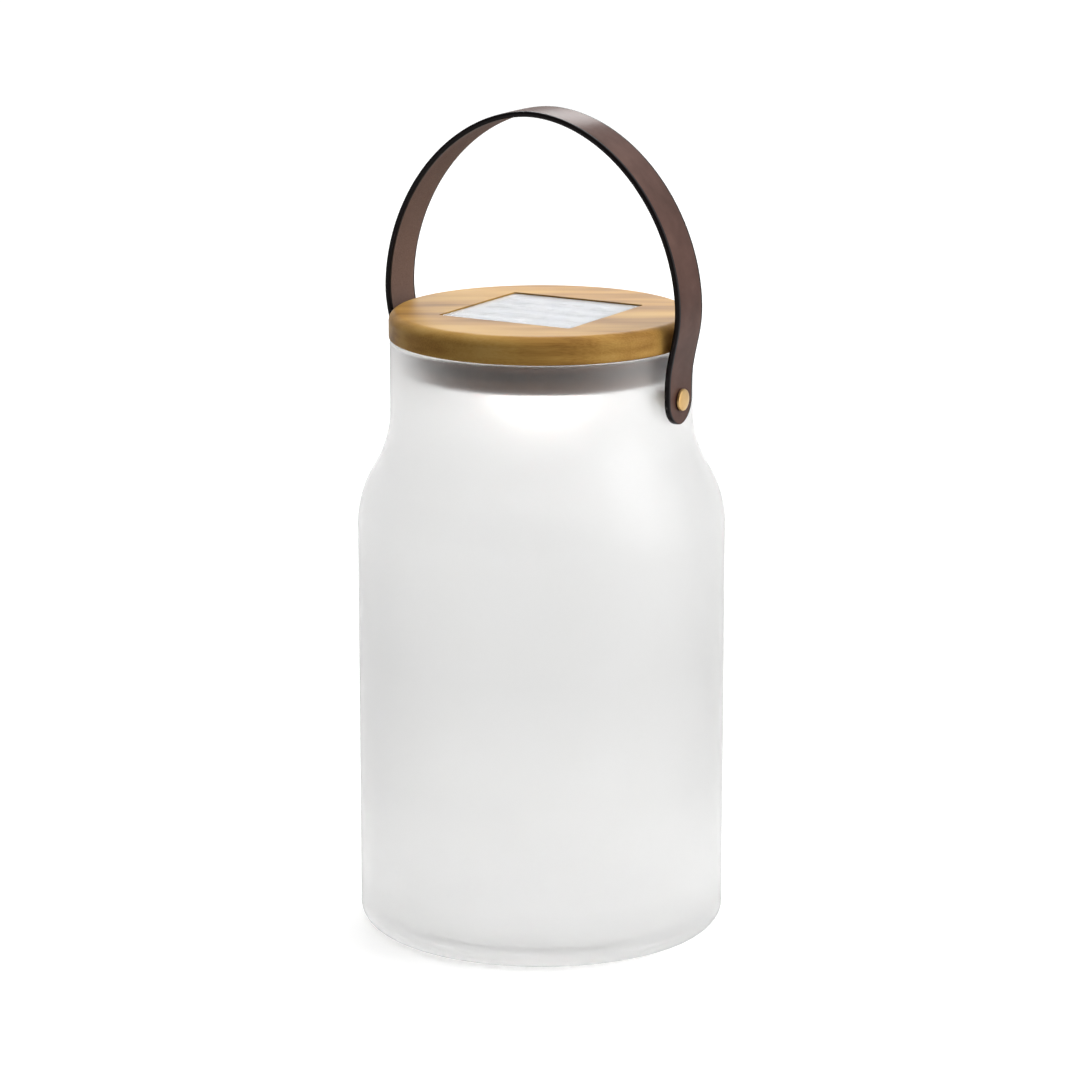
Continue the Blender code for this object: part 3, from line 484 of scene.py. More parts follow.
def jar_outline():
    """The glass from the middle of the base, up the outside, over the lip and down the inside."""
    sweep = NECK_SWEEP_R + SHOULDER_SWEEP_R
    turn = degrees(acos(1 - (body_r - NECK_R) / sweep))
    shoulder_z = SHOULDER_TOP_Z - sweep * sin(radians(turn))
    shoulder_r = body_r - SHOULDER_SWEEP_R
    neck_r = NECK_R + NECK_SWEEP_R
    corner_r = body_r - WALL - FLOOR_CORNER_R
    punt = [(0, PUNT_Z), (STANDING_IN_R * 0.5, PUNT_Z)]
    punt += [(STANDING_IN_R - PUNT_Z * 2 * (1 - t), PUNT_Z * (1 + cos(pi * t)) / 2)
             for t in np.linspace(0, 1, 7)]
    body = [(body_r, z) for z in np.linspace(FOOT_R, shoulder_z, 12)[1:-1]]
    inside = [(body_r - WALL, z) for z in np.linspace(shoulder_z, FLOOR_Z + FLOOR_CORNER_R, 12)[1:-1]]
    return (punt + arc(body_r - FOOT_R, FOOT_R, FOOT_R, -90, 0, 12)[1:] + body
            + arc(shoulder_r, shoulder_z, SHOULDER_SWEEP_R, 0, turn, 14)
            + arc(neck_r, SHOULDER_TOP_Z, NECK_SWEEP_R, 180 + turn, 180, 14)[1:]
            + arc(NECK_R - LIP_R, rim_z - LIP_R, LIP_R, 0, 180, 14)
            + arc(neck_r, SHOULDER_TOP_Z, NECK_SWEEP_R + WALL, 180, 180 + turn, 14)
            + arc(shoulder_r, shoulder_z, SHOULDER_SWEEP_R - WALL, turn, 0, 14)[1:] + inside
            + arc(corner_r, FLOOR_Z + FLOOR_CORNER_R, FLOOR_CORNER_R, 0, -90, 8)
            + [(corner_r * 0.5, FLOOR_Z), (0, FLOOR_Z)])


print("jar outline:", len(jar_outline()), "points")


# %% Geometry Nodes: turn an outline
def node_group(name, inputs):
    """An empty geometry tree with named inputs, ready to fill: (tree, input node)."""
    tree = bpy.data.node_groups.new(name, "GeometryNodeTree")
    tree.interface.new_socket("Geometry", in_out="INPUT", socket_type="NodeSocketGeometry")
    for label, kind, value in inputs:
        socket = tree.interface.new_socket(label, in_out="INPUT", socket_type=kind)
        if value is not None:
            socket.default_value = value
    tree.interface.new_socket("Geometry", in_out="OUTPUT", socket_type="NodeSocketGeometry")
    return tree, add(tree, "NodeGroupInput").outputs


def close_group(tree, geometry, material):
    """Ends a tree: real copies, then the material."""
    real = add(tree, "GeometryNodeRealizeInstances", {"Geometry": geometry})
    painted = add(tree, "GeometryNodeSetMaterial", {"Geometry": real.outputs[0],
                                                    "Material": material})
    add(tree, "NodeGroupOutput", {"Geometry": painted.outputs[0]})
    return tree


def run_group(obj, tree, values):
    """Runs a tree on an object, with inputs set by name, and keeps the plain mesh."""
    modifier = obj.modifiers.new(tree.name, "NODES")
    modifier.node_group = tree
    for item in tree.interface.items_tree:
        if item.in_out == "INPUT" and item.name in values:
            modifier[item.identifier] = values[item.name]
    return plain_mesh(obj)


def turning_tree():
    tree, given = node_group("turn_outline", [("Radius", "NodeSocketFloat", 0.05),
                                              ("Sides", "NodeSocketInt", 64),
                                              ("Material", "NodeSocketMaterial", None)])
    outline = add(tree, "GeometryNodeMeshToCurve", {"Mesh": given["Geometry"]})
    circle = add(tree, "GeometryNodeCurvePrimitiveCircle", {"Resolution": given["Sides"],
                                                            "Radius": given["Radius"]})
    swept = add(tree, "GeometryNodeCurveToMesh", {"Curve": circle.outputs["Curve"],
                                                  "Profile Curve": outline.outputs["Curve"]})
    closed = add(tree, "GeometryNodeMergeByDistance", {"Geometry": swept.outputs["Mesh"],
                                                       "Distance": 0.01 * MM})
    return close_group(tree, closed.outputs["Geometry"], given["Material"])


def turned_by_nodes(name, outline, sides, material):
    """A wire of the outline, measured from the circle that it is carried round, then turned."""
    radius = max(r for r, z in outline)
    mesh = bpy.data.meshes.new(name)
    points = [(r - radius, -z, 0) for r, z in outline]
    mesh.from_pydata(points, [(i, (i + 1) % len(points)) for i in range(len(points))], [])
    obj = bpy.data.objects.new(name, mesh)
    scene.collection.objects.link(obj)
    return run_group(obj, turning_tree(), {"Radius": radius, "Sides": sides, "Material": material})


jar = turned_by_nodes("jar_glass", jar_outline(), JAR_SIDES, frosted)
print("turned jar:", len(jar.data.polygons), "faces,", [round(c / MM, 1) for c in jar.dimensions])

# %% [markdown]
# The strap's studs go through a drilled hole on each side of the neck. One long rod cuts both. Then
# the faces that look at the axis, and the floor's top, get the clear glass, since only the outside
# is etched.

# %% Finish the jar
DRILL_R = 3.5 * MM
DRILL_PAST = 5 * MM  # how far the rod stands out of the neck


def facing_out(obj):
    """Turns the faces of a closed mesh outwards."""
    bm = bmesh.new()
    bm.from_mesh(obj.data)
    bmesh.ops.remove_doubles(bm, verts=bm.verts, dist=1e-6)
    bmesh.ops.dissolve_degenerate(bm, edges=bm.edges, dist=1e-6)
    bmesh.ops.recalc_face_normals(bm, faces=bm.faces)
    bm.to_mesh(obj.data)
    bm.free()
    return obj


def drill(radius, start, end, direction_to, centre, sides=48):
    """A rod to cut a hole with."""
    outline = [(0, start), (radius, start), (radius, end), (0, end)]
    return spin("drill", outline, sides, along=direction_to, centre=centre)


def hole_at(node, radius, start, end):
    """An upright rod through the middle of a screw."""
    screw = middle(node)
    return drill(radius, start, end, (0, 0, 1), (screw.x, screw.y, 0), 24)


facing_out(jar)
reach = NECK_R + DRILL_PAST
carve(jar, drill(DRILL_R, -reach, reach, (1, 0, 0), (0, 0, pivot_z)))
jar.data.materials.append(clear_glass)
for face in jar.data.polygons:
    spot = face.center
    to_axis = face.normal.x * spot.x + face.normal.y * spot.y
    in_floor = spot.z < body_r and face.normal.z > 0.5 and spot.z > FLOOR_Z / 2
    inner = to_axis < 0 and hypot(spot.x, spot.y) < body_r - WALL / 2 and spot.z > FLOOR_Z
    face.material_index = 1 if inner or in_floor else 0
smooth(jar, 40)
piece(jar, "jar", "frosted_glass", "glass_jar")

# %% [markdown]
# ## Leather
#
# The strap is bridle leather, dyed dark brown. Its good side has fine pores about a millimetre apart
# and soft cloudy colour, its flesh side is rougher and paler, and its cut edges are painted black.
# Voronoi cells give the pores and their creases, and two noises give the clouds and the nap.

# %% Leather materials
PORE = 1.1 * MM
CLOUD = 16 * MM
NAP = 0.5 * MM
PAINT_LUMP = 3 * MM


def grained_leather():
    material, tree, shader = new_material("bridle_leather", Specular_IOR_Level=0.0,
                                           Coat_Weight=0.32, Coat_Roughness=0.24)
    place = add(tree, "ShaderNodeTexCoord").outputs["Object"]
    pores = add(tree, "ShaderNodeTexVoronoi", {"Vector": place, "Scale": 1 / PORE,
                                               "Smoothness": 0.6}, feature="SMOOTH_F1")
    clouds = add(tree, "ShaderNodeTexNoise", {"Vector": place, "Scale": 1 / CLOUD,
                                              "Detail": 5.0}).outputs["Fac"]
    fine = add(tree, "ShaderNodeTexNoise", {"Vector": place, "Scale": 1 / NAP, "Detail": 3.0})
    height = add(tree, "ShaderNodeMath", {0: pores.outputs["Distance"], 1: 0.7,
                                          2: fine.outputs["Fac"]}, operation="MULTIPLY_ADD")
    surface(tree, shader, clouds, [(0.30, "4b352e"), (0.50, "553d36"), (0.72, "5f463e")], clouds,
            (0.28, 0.38), height.outputs[0], 0.35, 0.12 * MM)
    return material


def flesh_side():
    material, tree, shader = new_material("leather_flesh_side", Specular_IOR_Level=0.3)
    place = add(tree, "ShaderNodeTexCoord").outputs["Object"]
    nap = add(tree, "ShaderNodeTexNoise", {"Vector": place, "Scale": 1 / NAP, "Detail": 6.0,
                                           "Distortion": 0.6}).outputs["Fac"]
    surface(tree, shader, nap, [(0.3, "604c45"), (0.7, "7a6359")], nap, (0.75, 0.95),
            nap, 0.6, 0.15 * MM)
    return material


def edge_paint():
    material, tree, shader = new_material("edge_paint", Specular_IOR_Level=0.12,
                                           Coat_Weight=0.04, Coat_Roughness=0.2)
    place = add(tree, "ShaderNodeTexCoord").outputs["Object"]
    lumps = add(tree, "ShaderNodeTexNoise", {"Vector": place, "Scale": 1 / PAINT_LUMP,
                                             "Detail": 3.0}).outputs["Fac"]
    surface(tree, shader, lumps, [(0.3, "0b0607"), (0.7, "130b0c")], lumps, (0.35, 0.5),
            lumps, 0.5, 0.08 * MM)
    return material


leather, flesh, painted_edge = grained_leather(), flesh_side(), edge_paint()
print("leather:", leather.name, flesh.name, painted_edge.name)

# %% [markdown]
# ## The strap
#
# The strap is a flat band with round ends, bent into a tall bow. It is made as a maker would cut it:
# a section that is flat on both faces with rounded edges, carried along the bow's path. The path is
# worked out with its straight feet, a gentle swell past the lid and a superellipse over the top. At
# the ends the section narrows as a half circle does.

# %% Strap path
STRAP_T = 2.6 * MM
STRAP_GAP = 0.3 * MM  # from the glass to the strap, and from the strap to the stud's head
STRAP_HALF_W = high("handle_strap").y
STRAP_TOP_Z = high("handle_strap").z
STRAP_WIDEST_X = high("handle_strap").x
STRAP_FOOT_X = NECK_R + STRAP_GAP + STRAP_T
STRAP_STRAIGHT_Z = 253.5 * MM
STRAP_SWELL_Z = 287 * MM
ROUNDNESS = 1.9
CROWN = 0.12 * MM  # how far the good side stands up in the middle
EDGE_R = 0.7 * MM
PAINT_LAP = 0.8 * MM  # how far the edge paint runs onto each face


def strap_path():
    """(x, z) of the good side's middle line, from the -X end over the top to the +X end."""
    foot_z = pivot_z - STRAP_HALF_W
    ends = foot_z + STRAP_HALF_W * (1 - np.cos(np.radians(np.linspace(6, 88, 18))))
    flare = np.linspace(STRAP_STRAIGHT_Z - 4 * MM, STRAP_SWELL_Z, 22)
    side = []
    for z in [*ends, *flare]:
        turn = pi * max(z - STRAP_STRAIGHT_Z, 0) / (STRAP_SWELL_Z - STRAP_STRAIGHT_Z)
        side.append((STRAP_FOOT_X + (STRAP_WIDEST_X - STRAP_FOOT_X) * (1 - cos(turn)) / 2, z))
    rise = STRAP_TOP_Z - STRAP_SWELL_Z
    power = 2 / ROUNDNESS
    bow = [(STRAP_WIDEST_X * cos(t) ** power, STRAP_SWELL_Z + rise * sin(t) ** power)
           for t in np.linspace(0, pi / 2, 56)[1:-1]]
    right = side + bow
    return [(-x, z) for x, z in right] + [(0.0, STRAP_TOP_Z)] + right[::-1]


def strap_section(half_width):
    """(across, depth, zone) round the section: good side, edge, flesh side, edge."""
    edge = min(EDGE_R, half_width * 0.8)
    flat = half_width - edge
    face = max(flat - PAINT_LAP, flat / 2)
    across = [-flat, *np.linspace(-face, face, 9), flat]
    good = [(y, -CROWN * (y / STRAP_HALF_W) ** 2, 0 if abs(y) < flat else 2) for y in across]
    back = [(-y, -STRAP_T, 1 if abs(y) < flat else 2) for y in across]
    turn = np.radians(np.linspace(90, -90, 9)[1:-1])
    middle = -STRAP_T / 2
    round_edge = [(flat + edge * cos(a), middle + (STRAP_T / 2 - CROWN / 2) * sin(a), 2)
                  for a in turn]
    other = [(-y, z, zone) for y, z, zone in round_edge[::-1]]
    return good + round_edge + back + other


print("strap path:", len(strap_path()), "stations")


# %% Build the strap
def make_strap():
    path = [Vector((x, 0, z)) for x, z in strap_path()]
    foot_z = pivot_z - STRAP_HALF_W
    bm = bmesh.new()
    rings, zones = [], []
    for i, point in enumerate(path):
        ahead = path[min(i + 1, len(path) - 1)] - path[max(i - 1, 0)]
        outward = Vector((-ahead.z, 0, ahead.x)).normalized()
        short = max(STRAP_HALF_W - (point.z - foot_z), 0)
        section = strap_section(max(STRAP_HALF_W ** 2 - short ** 2, 0) ** 0.5)
        zones = [zone for y, depth, zone in section]
        rings.append([bm.verts.new(point + Vector((0, y, 0)) + outward * depth)
                      for y, depth, zone in section])
    for a, b in zip(rings, rings[1:]):
        for i in range(len(a)):
            j = (i + 1) % len(a)
            face = bm.faces.new((a[i], a[j], b[j], b[i]))
            face.material_index = zones[i] if zones[i] == zones[j] else 2
    for ring in (rings[0], rings[-1]):
        bm.faces.new(ring).material_index = 2
    return make_object("leather_strap", bm, (leather, flesh, painted_edge))


strap = make_strap()
HOLE_R = 3.7 * MM
carve(strap, drill(HOLE_R, -STRAP_WIDEST_X, STRAP_WIDEST_X, (1, 0, 0), (0, 0, pivot_z)))
smooth(strap, 50)
piece(strap, "handle", "leather", "handle_strap")

# %% [markdown]
# ## Brass studs
#
# Each stud is turned from brass bar and polished. Turning leaves very fine rings round its axis, and
# handling leaves small scratches, so the roughness varies a little. The head is a low dome with a
# soft rim.

# %% Brass
SCRATCH = 1.2 * MM
SCRATCH_STRETCH = 9.0  # the turning marks are this much closer together along the stud's axis
TARNISH = 5 * MM


def polished_brass():
    material, tree, shader = new_material("polished_brass", Metallic=1.0)
    place = add(tree, "ShaderNodeTexCoord").outputs["Object"]
    stretched = add(tree, "ShaderNodeMapping", {"Vector": place,
                                                "Scale": (SCRATCH_STRETCH, 1.0, 1.0)})
    scratches = add(tree, "ShaderNodeTexNoise", {"Vector": stretched.outputs[0],
                                                 "Scale": 1 / SCRATCH,
                                                 "Detail": 4.0}).outputs["Fac"]
    tarnish = add(tree, "ShaderNodeTexNoise", {"Vector": place, "Scale": 1 / TARNISH})
    surface(tree, shader, tarnish.outputs["Fac"], [(0.3, "bc9762"), (0.7, "c9a974")], scratches,
            (0.26, 0.40), scratches, 0.15, 0.02 * MM)
    return material


brass = polished_brass()


# %% Studs
SHANK_R = 2.0 * MM
SHANK_BEVEL = 0.4 * MM
HEAD_RIM_R = 0.5 * MM
HEAD_DOME = 0.75 * MM


def make_stud(side, sign):
    """The stud on its own axis: shank, then a domed head with a rounded rim."""
    node = f"{side}_stud"
    inner = abs(low(node).x if sign > 0 else high(node).x)
    outer = abs(high(node).x if sign > 0 else low(node).x)
    head_r = high(node).y
    head_x = STRAP_FOOT_X + STRAP_GAP
    dome_start = outer - HEAD_DOME
    dome = [(head_r * cos(t), dome_start + (outer - dome_start) * sin(t))
            for t in np.linspace(0.35, pi / 2, 14)]
    outline = [(0, inner), (SHANK_R - SHANK_BEVEL, inner), (SHANK_R, inner + SHANK_BEVEL),
               (SHANK_R, head_x)]
    outline += arc(head_r - HEAD_RIM_R, head_x + HEAD_RIM_R, HEAD_RIM_R, -90, 0, 5)
    outline += dome[:-1] + [(0, outer)]
    stud = spin(f"{side}_brass_stud", outline, 96, (brass,), along=(sign, 0, 0),
                centre=(0, 0, pivot_z))
    smooth(stud, 40)
    return piece(stud, "jar", "brass", node)


for side, sign in (("right", 1), ("left", -1)):
    make_stud(side, sign)

# %% [markdown]
# ## Bamboo lid
#
# The lid is turned from laminated bamboo: strips a few millimetres wide, glued side by side, with
# fine dark fibres running along them and a paler or darker joint where the cane had a node. Wood
# grain is a solid pattern, so it is built in three dimensions: on the top it shows as long streaks
# and on the ends as dots. A thin matt lacquer covers it, which hardly shines.

# %% Bamboo
STRIP_W = 7 * MM
FIBRE_W = 0.6 * MM
FIBRE_L = 45 * MM
STREAK_W = 5 * MM
STREAK_L = 70 * MM
GRAIN_TURN = radians(-30)  # which way the strips run across the disc
STRIP_SHIFT = 0.2  # metres that each strip's fibres are moved along it, times its random tone
FIBRE_SHARE, STRIP_SHARE = 0.35, 0.10  # how much they tint beside the streaks


def lacquered_bamboo():
    material, tree, shader = new_material("lacquered_bamboo", Specular_IOR_Level=0.05)
    place = add(tree, "ShaderNodeTexCoord").outputs["Object"]
    turned = add(tree, "ShaderNodeMapping", {"Vector": place, "Rotation": (0, 0, GRAIN_TURN)})
    axes = add(tree, "ShaderNodeSeparateXYZ", {"Vector": turned.outputs[0]})
    strip = add(tree, "ShaderNodeMath", {0: axes.outputs["Y"], 1: STRIP_W}, operation="DIVIDE")
    number = add(tree, "ShaderNodeMath", {0: strip.outputs[0]}, operation="FLOOR")
    tone = add(tree, "ShaderNodeTexWhiteNoise", {"W": number.outputs[0]}, noise_dimensions="1D")
    along = add(tree, "ShaderNodeMath", {0: tone.outputs["Value"], 1: STRIP_SHIFT,
                                         2: axes.outputs["X"]}, operation="MULTIPLY_ADD")
    shifted = add(tree, "ShaderNodeCombineXYZ", {"X": along.outputs[0], "Y": axes.outputs["Y"],
                                                 "Z": axes.outputs["Z"]})
    thin = add(tree, "ShaderNodeMapping", {"Vector": shifted.outputs[0],
                                           "Scale": (FIBRE_W / FIBRE_L, 1.0, 1.0)})
    fibres = add(tree, "ShaderNodeTexNoise", {"Vector": thin.outputs[0], "Scale": 1 / FIBRE_W,
                                              "Detail": 3.0})
    wide = add(tree, "ShaderNodeMapping", {"Vector": turned.outputs[0],
                                           "Scale": (STREAK_W / STREAK_L, 0.3, 0.8)})
    streaks = add(tree, "ShaderNodeTexNoise", {"Vector": wide.outputs[0], "Scale": 1 / STREAK_W,
                                               "Detail": 1.5})
    grain = add(tree, "ShaderNodeMath", {0: fibres.outputs["Fac"], 1: FIBRE_SHARE,
                                         2: streaks.outputs["Fac"]}, operation="MULTIPLY_ADD")
    both = add(tree, "ShaderNodeMath", {0: tone.outputs["Value"], 1: STRIP_SHARE,
                                        2: grain.outputs[0]}, operation="MULTIPLY_ADD")
    surface(tree, shader, both.outputs[0],
            [(0.48, "8b632f"), (0.66, "ac8041"), (0.80, "bd924d"), (0.95, "c79e59")],
            fibres.outputs["Fac"], (0.36, 0.46), fibres.outputs["Fac"], 0.10, 0.05 * MM)
    return material


bamboo = lacquered_bamboo()

# %% The lid
CLEARANCE = 0.3 * MM
LID_SCREW_R = 1.9 * MM  # the hole for its shank
WIRE_HOLE_R = 5 * MM
TURN_STEPS = 224
LID_EDGE_R = 4.5 * MM
LID_UNDER_R = 1.0 * MM
RECESS_CHAMFER = 0.35 * MM
panel_half = high("solar_cover").x
recess_half = panel_half + CLEARANCE
recess_z = low("solar_backing").z - CLEARANCE


def make_lid():
    outline = [(0, lid_top_z), (lid_r * 0.5, lid_top_z)]
    outline += arc(lid_r - LID_EDGE_R, lid_top_z - LID_EDGE_R, LID_EDGE_R, 90, 0, 14)
    outline += arc(lid_r - LID_UNDER_R, lid_low_z + LID_UNDER_R, LID_UNDER_R, 0, -90, 6)
    outline += [(lid_r * 0.5, lid_low_z), (0, lid_low_z)]
    lid = spin("bamboo_lid", outline, TURN_STEPS, (bamboo,))
    deep = slab("recess", (-recess_half, -recess_half, recess_z),
                (recess_half, recess_half, lid_top_z + 5 * MM), 1.0 * MM)
    wires = drill(WIRE_HOLE_R, lid_low_z - MM, recess_z + MM, (0, 0, 1), (0, 0, 0))
    carve(lid, deep, wires)
    for i in range(1, 5):
        screw = f"lid_screw_{i}"
        carve(lid, hole_at(screw, LID_SCREW_R, lid_low_z - MM, high(screw).z + CLEARANCE))
    bevel = lid.modifiers.new("broken_edge", "BEVEL")
    bevel.width = RECESS_CHAMFER
    bevel.segments = 2
    bevel.limit_method = "ANGLE"
    bevel.angle_limit = radians(60)
    plain_mesh(lid)
    smooth(lid, 32)
    return piece(lid, "lid", "bamboo", "wooden_lid")


make_lid()

# %% [markdown]
# ## Solar panel
#
# The panel is a sandwich: a white backing, four strips of polycrystalline silicon and a clear resin
# cover. Cast silicon sets in flat crystals, each with its own blue, which Voronoi cells give. Thin
# silver lines are printed on every strip to collect the current, and a wider bar across each joins them.

# %% Panel materials
CRYSTAL = 5 * MM
RIPPLE = 9 * MM


def silicon():
    material, tree, shader = new_material("cast_silicon", Metallic=0.0, Coat_Weight=0.1,
                                          Coat_Roughness=0.08)
    place = add(tree, "ShaderNodeTexCoord").outputs["Object"]
    crystals = add(tree, "ShaderNodeTexVoronoi", {"Vector": place, "Scale": 1 / CRYSTAL})
    shade_of = add(tree, "ShaderNodeSeparateColor", {"Color": crystals.outputs["Color"]})
    surface(tree, shader, shade_of.outputs[0], [(0.0, "141d3c"), (0.5, "1b2a55"), (1.0, "263a6c")],
            shade_of.outputs[1], (0.26, 0.32))
    return material


def resin():
    material, tree, shader = new_material("clear_resin", Transmission_Weight=1.0, IOR=1.5)
    place = add(tree, "ShaderNodeTexCoord").outputs["Object"]
    ripple = add(tree, "ShaderNodeTexNoise", {"Vector": place, "Scale": 1 / RIPPLE}).outputs["Fac"]
    surface(tree, shader, ripple, [(0.3, "f7fafb"), (0.7, "ffffff")], ripple, (0.07, 0.10),
            ripple, 0.1, 0.03 * MM)
    return material


def speckled(name, dark, light, grain, roughness, depth=0.03, **sockets):
    """A moulded, printed or drawn surface: two close tones and a fine texture of a real size."""
    material, tree, shader = new_material(name, **sockets)
    place = add(tree, "ShaderNodeTexCoord").outputs["Object"]
    fine = add(tree, "ShaderNodeTexNoise", {"Vector": place, "Scale": 1 / grain, "Detail": 3.0})
    wide = add(tree, "ShaderNodeTexNoise", {"Vector": place,
                                            "Scale": 1 / (30 * grain)}).outputs["Fac"]
    surface(tree, shader, wide, [(0.3, dark), (0.7, light)], wide,
            (roughness * 0.85, roughness * 1.15), fine.outputs["Fac"], 0.4, depth * MM)
    return material


finishes = {
    "solar_cell": silicon(),
    "clear_cover": resin(),
    "white_plastic": speckled("moulded_white_abs", "e2e1dc", "ecebe7", 0.4 * MM, 0.42),
    "plug_plastic": speckled("moulded_brown_abs", "4a2b13", "56341a", 0.5 * MM, 0.5),
    "black_plastic": speckled("moulded_black_abs", "161616", "1e1e1f", 0.4 * MM, 0.45),
    "nylon": speckled("natural_nylon", "d9d6cb", "e6e3d9", 0.4 * MM, 0.45,
                      Subsurface_Weight=0.2, Subsurface_Scale=0.002),
    "silicone": speckled("dark_silicone", "342214", "40291a", 0.6 * MM, 0.55),
    "diffuser": speckled("opal_polycarbonate", "efece2", "f7f5ee", 0.5 * MM, 0.45,
                         Subsurface_Weight=0.6, Subsurface_Scale=0.004,
                         Emission_Color=linear("fffefa"), Emission_Strength=5.5),
    "steel": speckled("zinc_plated_steel", "a9abae", "c2c3c4", 0.3 * MM, 0.30, Metallic=1.0),
    "battery_sleeve": speckled("shrink_sleeve", "17532b", "1d6535", 0.8 * MM, 0.3),
    "led_lens": speckled("led_epoxy", "f2dc96", "f9eab8", 0.5 * MM, 0.12,
                         Transmission_Weight=0.35, IOR=1.5),
    "circuit_board": speckled("green_solder_mask", "0f4a26", "176032", 0.8 * MM, 0.35,
                              Coat_Weight=0.3),
    "red_wire": speckled("red_pvc", "a31616", "b81f1c", 0.5 * MM, 0.4),
    "black_wire": speckled("black_pvc", "171717", "212121", 0.5 * MM, 0.4),
    "brass": brass,
    "bamboo": bamboo,
    "leather": leather,
    "frosted_glass": frosted,
}
print("finishes:", sorted(finishes))

# %% Silver lines on the cells
FINGER_PITCH = 2.0 * MM
FINGER_W = 0.14 * MM
BAR_W = 1.2 * MM
PRINT_T = 0.05 * MM
PRINT_GAP = 0.02 * MM
CELL_EDGE = 1 * MM


def lines_tree():
    """Thin bars side by side: a count, a pitch and one bar's size."""
    tree, given = node_group("printed_lines", [("Count", "NodeSocketInt", 10),
                                               ("Pitch", "NodeSocketFloat", 0.002),
                                               ("Bar", "NodeSocketVector", None),
                                               ("Start", "NodeSocketVector", None),
                                               ("Material", "NodeSocketMaterial", None)])
    step = add(tree, "ShaderNodeCombineXYZ", {"X": given["Pitch"]})
    row = add(tree, "GeometryNodeMeshLine", {"Count": given["Count"],
                                             "Start Location": given["Start"],
                                             "Offset": step.outputs[0]})
    bar = add(tree, "GeometryNodeMeshCube", {"Size": given["Bar"]})
    bars = add(tree, "GeometryNodeInstanceOnPoints", {"Points": row.outputs["Mesh"],
                                                      "Instance": bar.outputs["Mesh"]})
    return close_group(tree, bars.outputs["Instances"], given["Material"])


silver = speckled("printed_silver", "c9ccd0", "dfe1e3", 0.2 * MM, 0.35, Metallic=1.0)
printed = lines_tree()


def empty_object(name):
    obj = bpy.data.objects.new(name, bpy.data.meshes.new(name))
    scene.collection.objects.link(obj)
    return obj


for number in range(1, 5):
    cell_low, cell_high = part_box(f"solar_cell_{number}")
    top = cell_high.z + PRINT_T / 2 + PRINT_GAP
    width, length = cell_high.y - cell_low.y, cell_high.x - cell_low.x
    count = int(length / FINGER_PITCH)
    middle_y = (cell_low.y + cell_high.y) / 2
    first_x = -(count - 1) * FINGER_PITCH / 2
    fingers = run_group(empty_object(f"cell_fingers_{number}"), printed, {
        "Count": count, "Pitch": FINGER_PITCH, "Bar": (FINGER_W, width - CELL_EDGE, PRINT_T),
        "Start": (first_x, middle_y, top), "Material": silver})
    piece(fingers, "lid", "solar_cell")
    bar = slab(f"cell_bar_{number}",
               (cell_low.x + CELL_EDGE, middle_y - BAR_W / 2, top + PRINT_T),
               (cell_high.x - CELL_EDGE, middle_y + BAR_W / 2, top + 1.6 * PRINT_T), 0.3 * MM,
               (silver,))
    piece(bar, "lid", "solar_cell")

# %% Panel cover
cover_low, cover_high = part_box("solar_cover")
cover = slab("panel_cover", cover_low, cover_high, 0.8 * MM, (finishes["clear_cover"],))
bevel = cover.modifiers.new("soft_edge", "BEVEL")
bevel.width = 0.25 * MM
bevel.segments = 3
bevel.limit_method = "ANGLE"
plain_mesh(cover)
smooth(cover, 35)
piece(cover, "lid", "clear_cover", "solar_cover")

# %% [markdown]
# ## What the lid holds
#
# Under the wood sit the tapered plug with its silicone ring, and the light with its opal dome. They
# are turned pieces again. The small pieces inside keep their CAD shape and get real finishes.


# %% The plug and its seal
PLUG_TOP_R, PLUG_LOW_R = 63.6 * MM, 61.8 * MM
GROOVE_R = 61.5 * MM
LIGHT_R = 18.4 * MM  # the opening that the light sits in
PLUG_FLOOR_T = 2 * MM
LID_BOSS_R, BOARD_POST_R = 4.6 * MM, 2.4 * MM
LID_HEAD_R, LID_HEAD_T = 3.7 * MM, 1.8 * MM  # the sunk hole for a lid screw's head
BOARD_PILOT_R = 1.3 * MM
RING_SCREW_R = 1.5 * MM
SLOT_HALF = (1.9 * MM, 1.5 * MM)


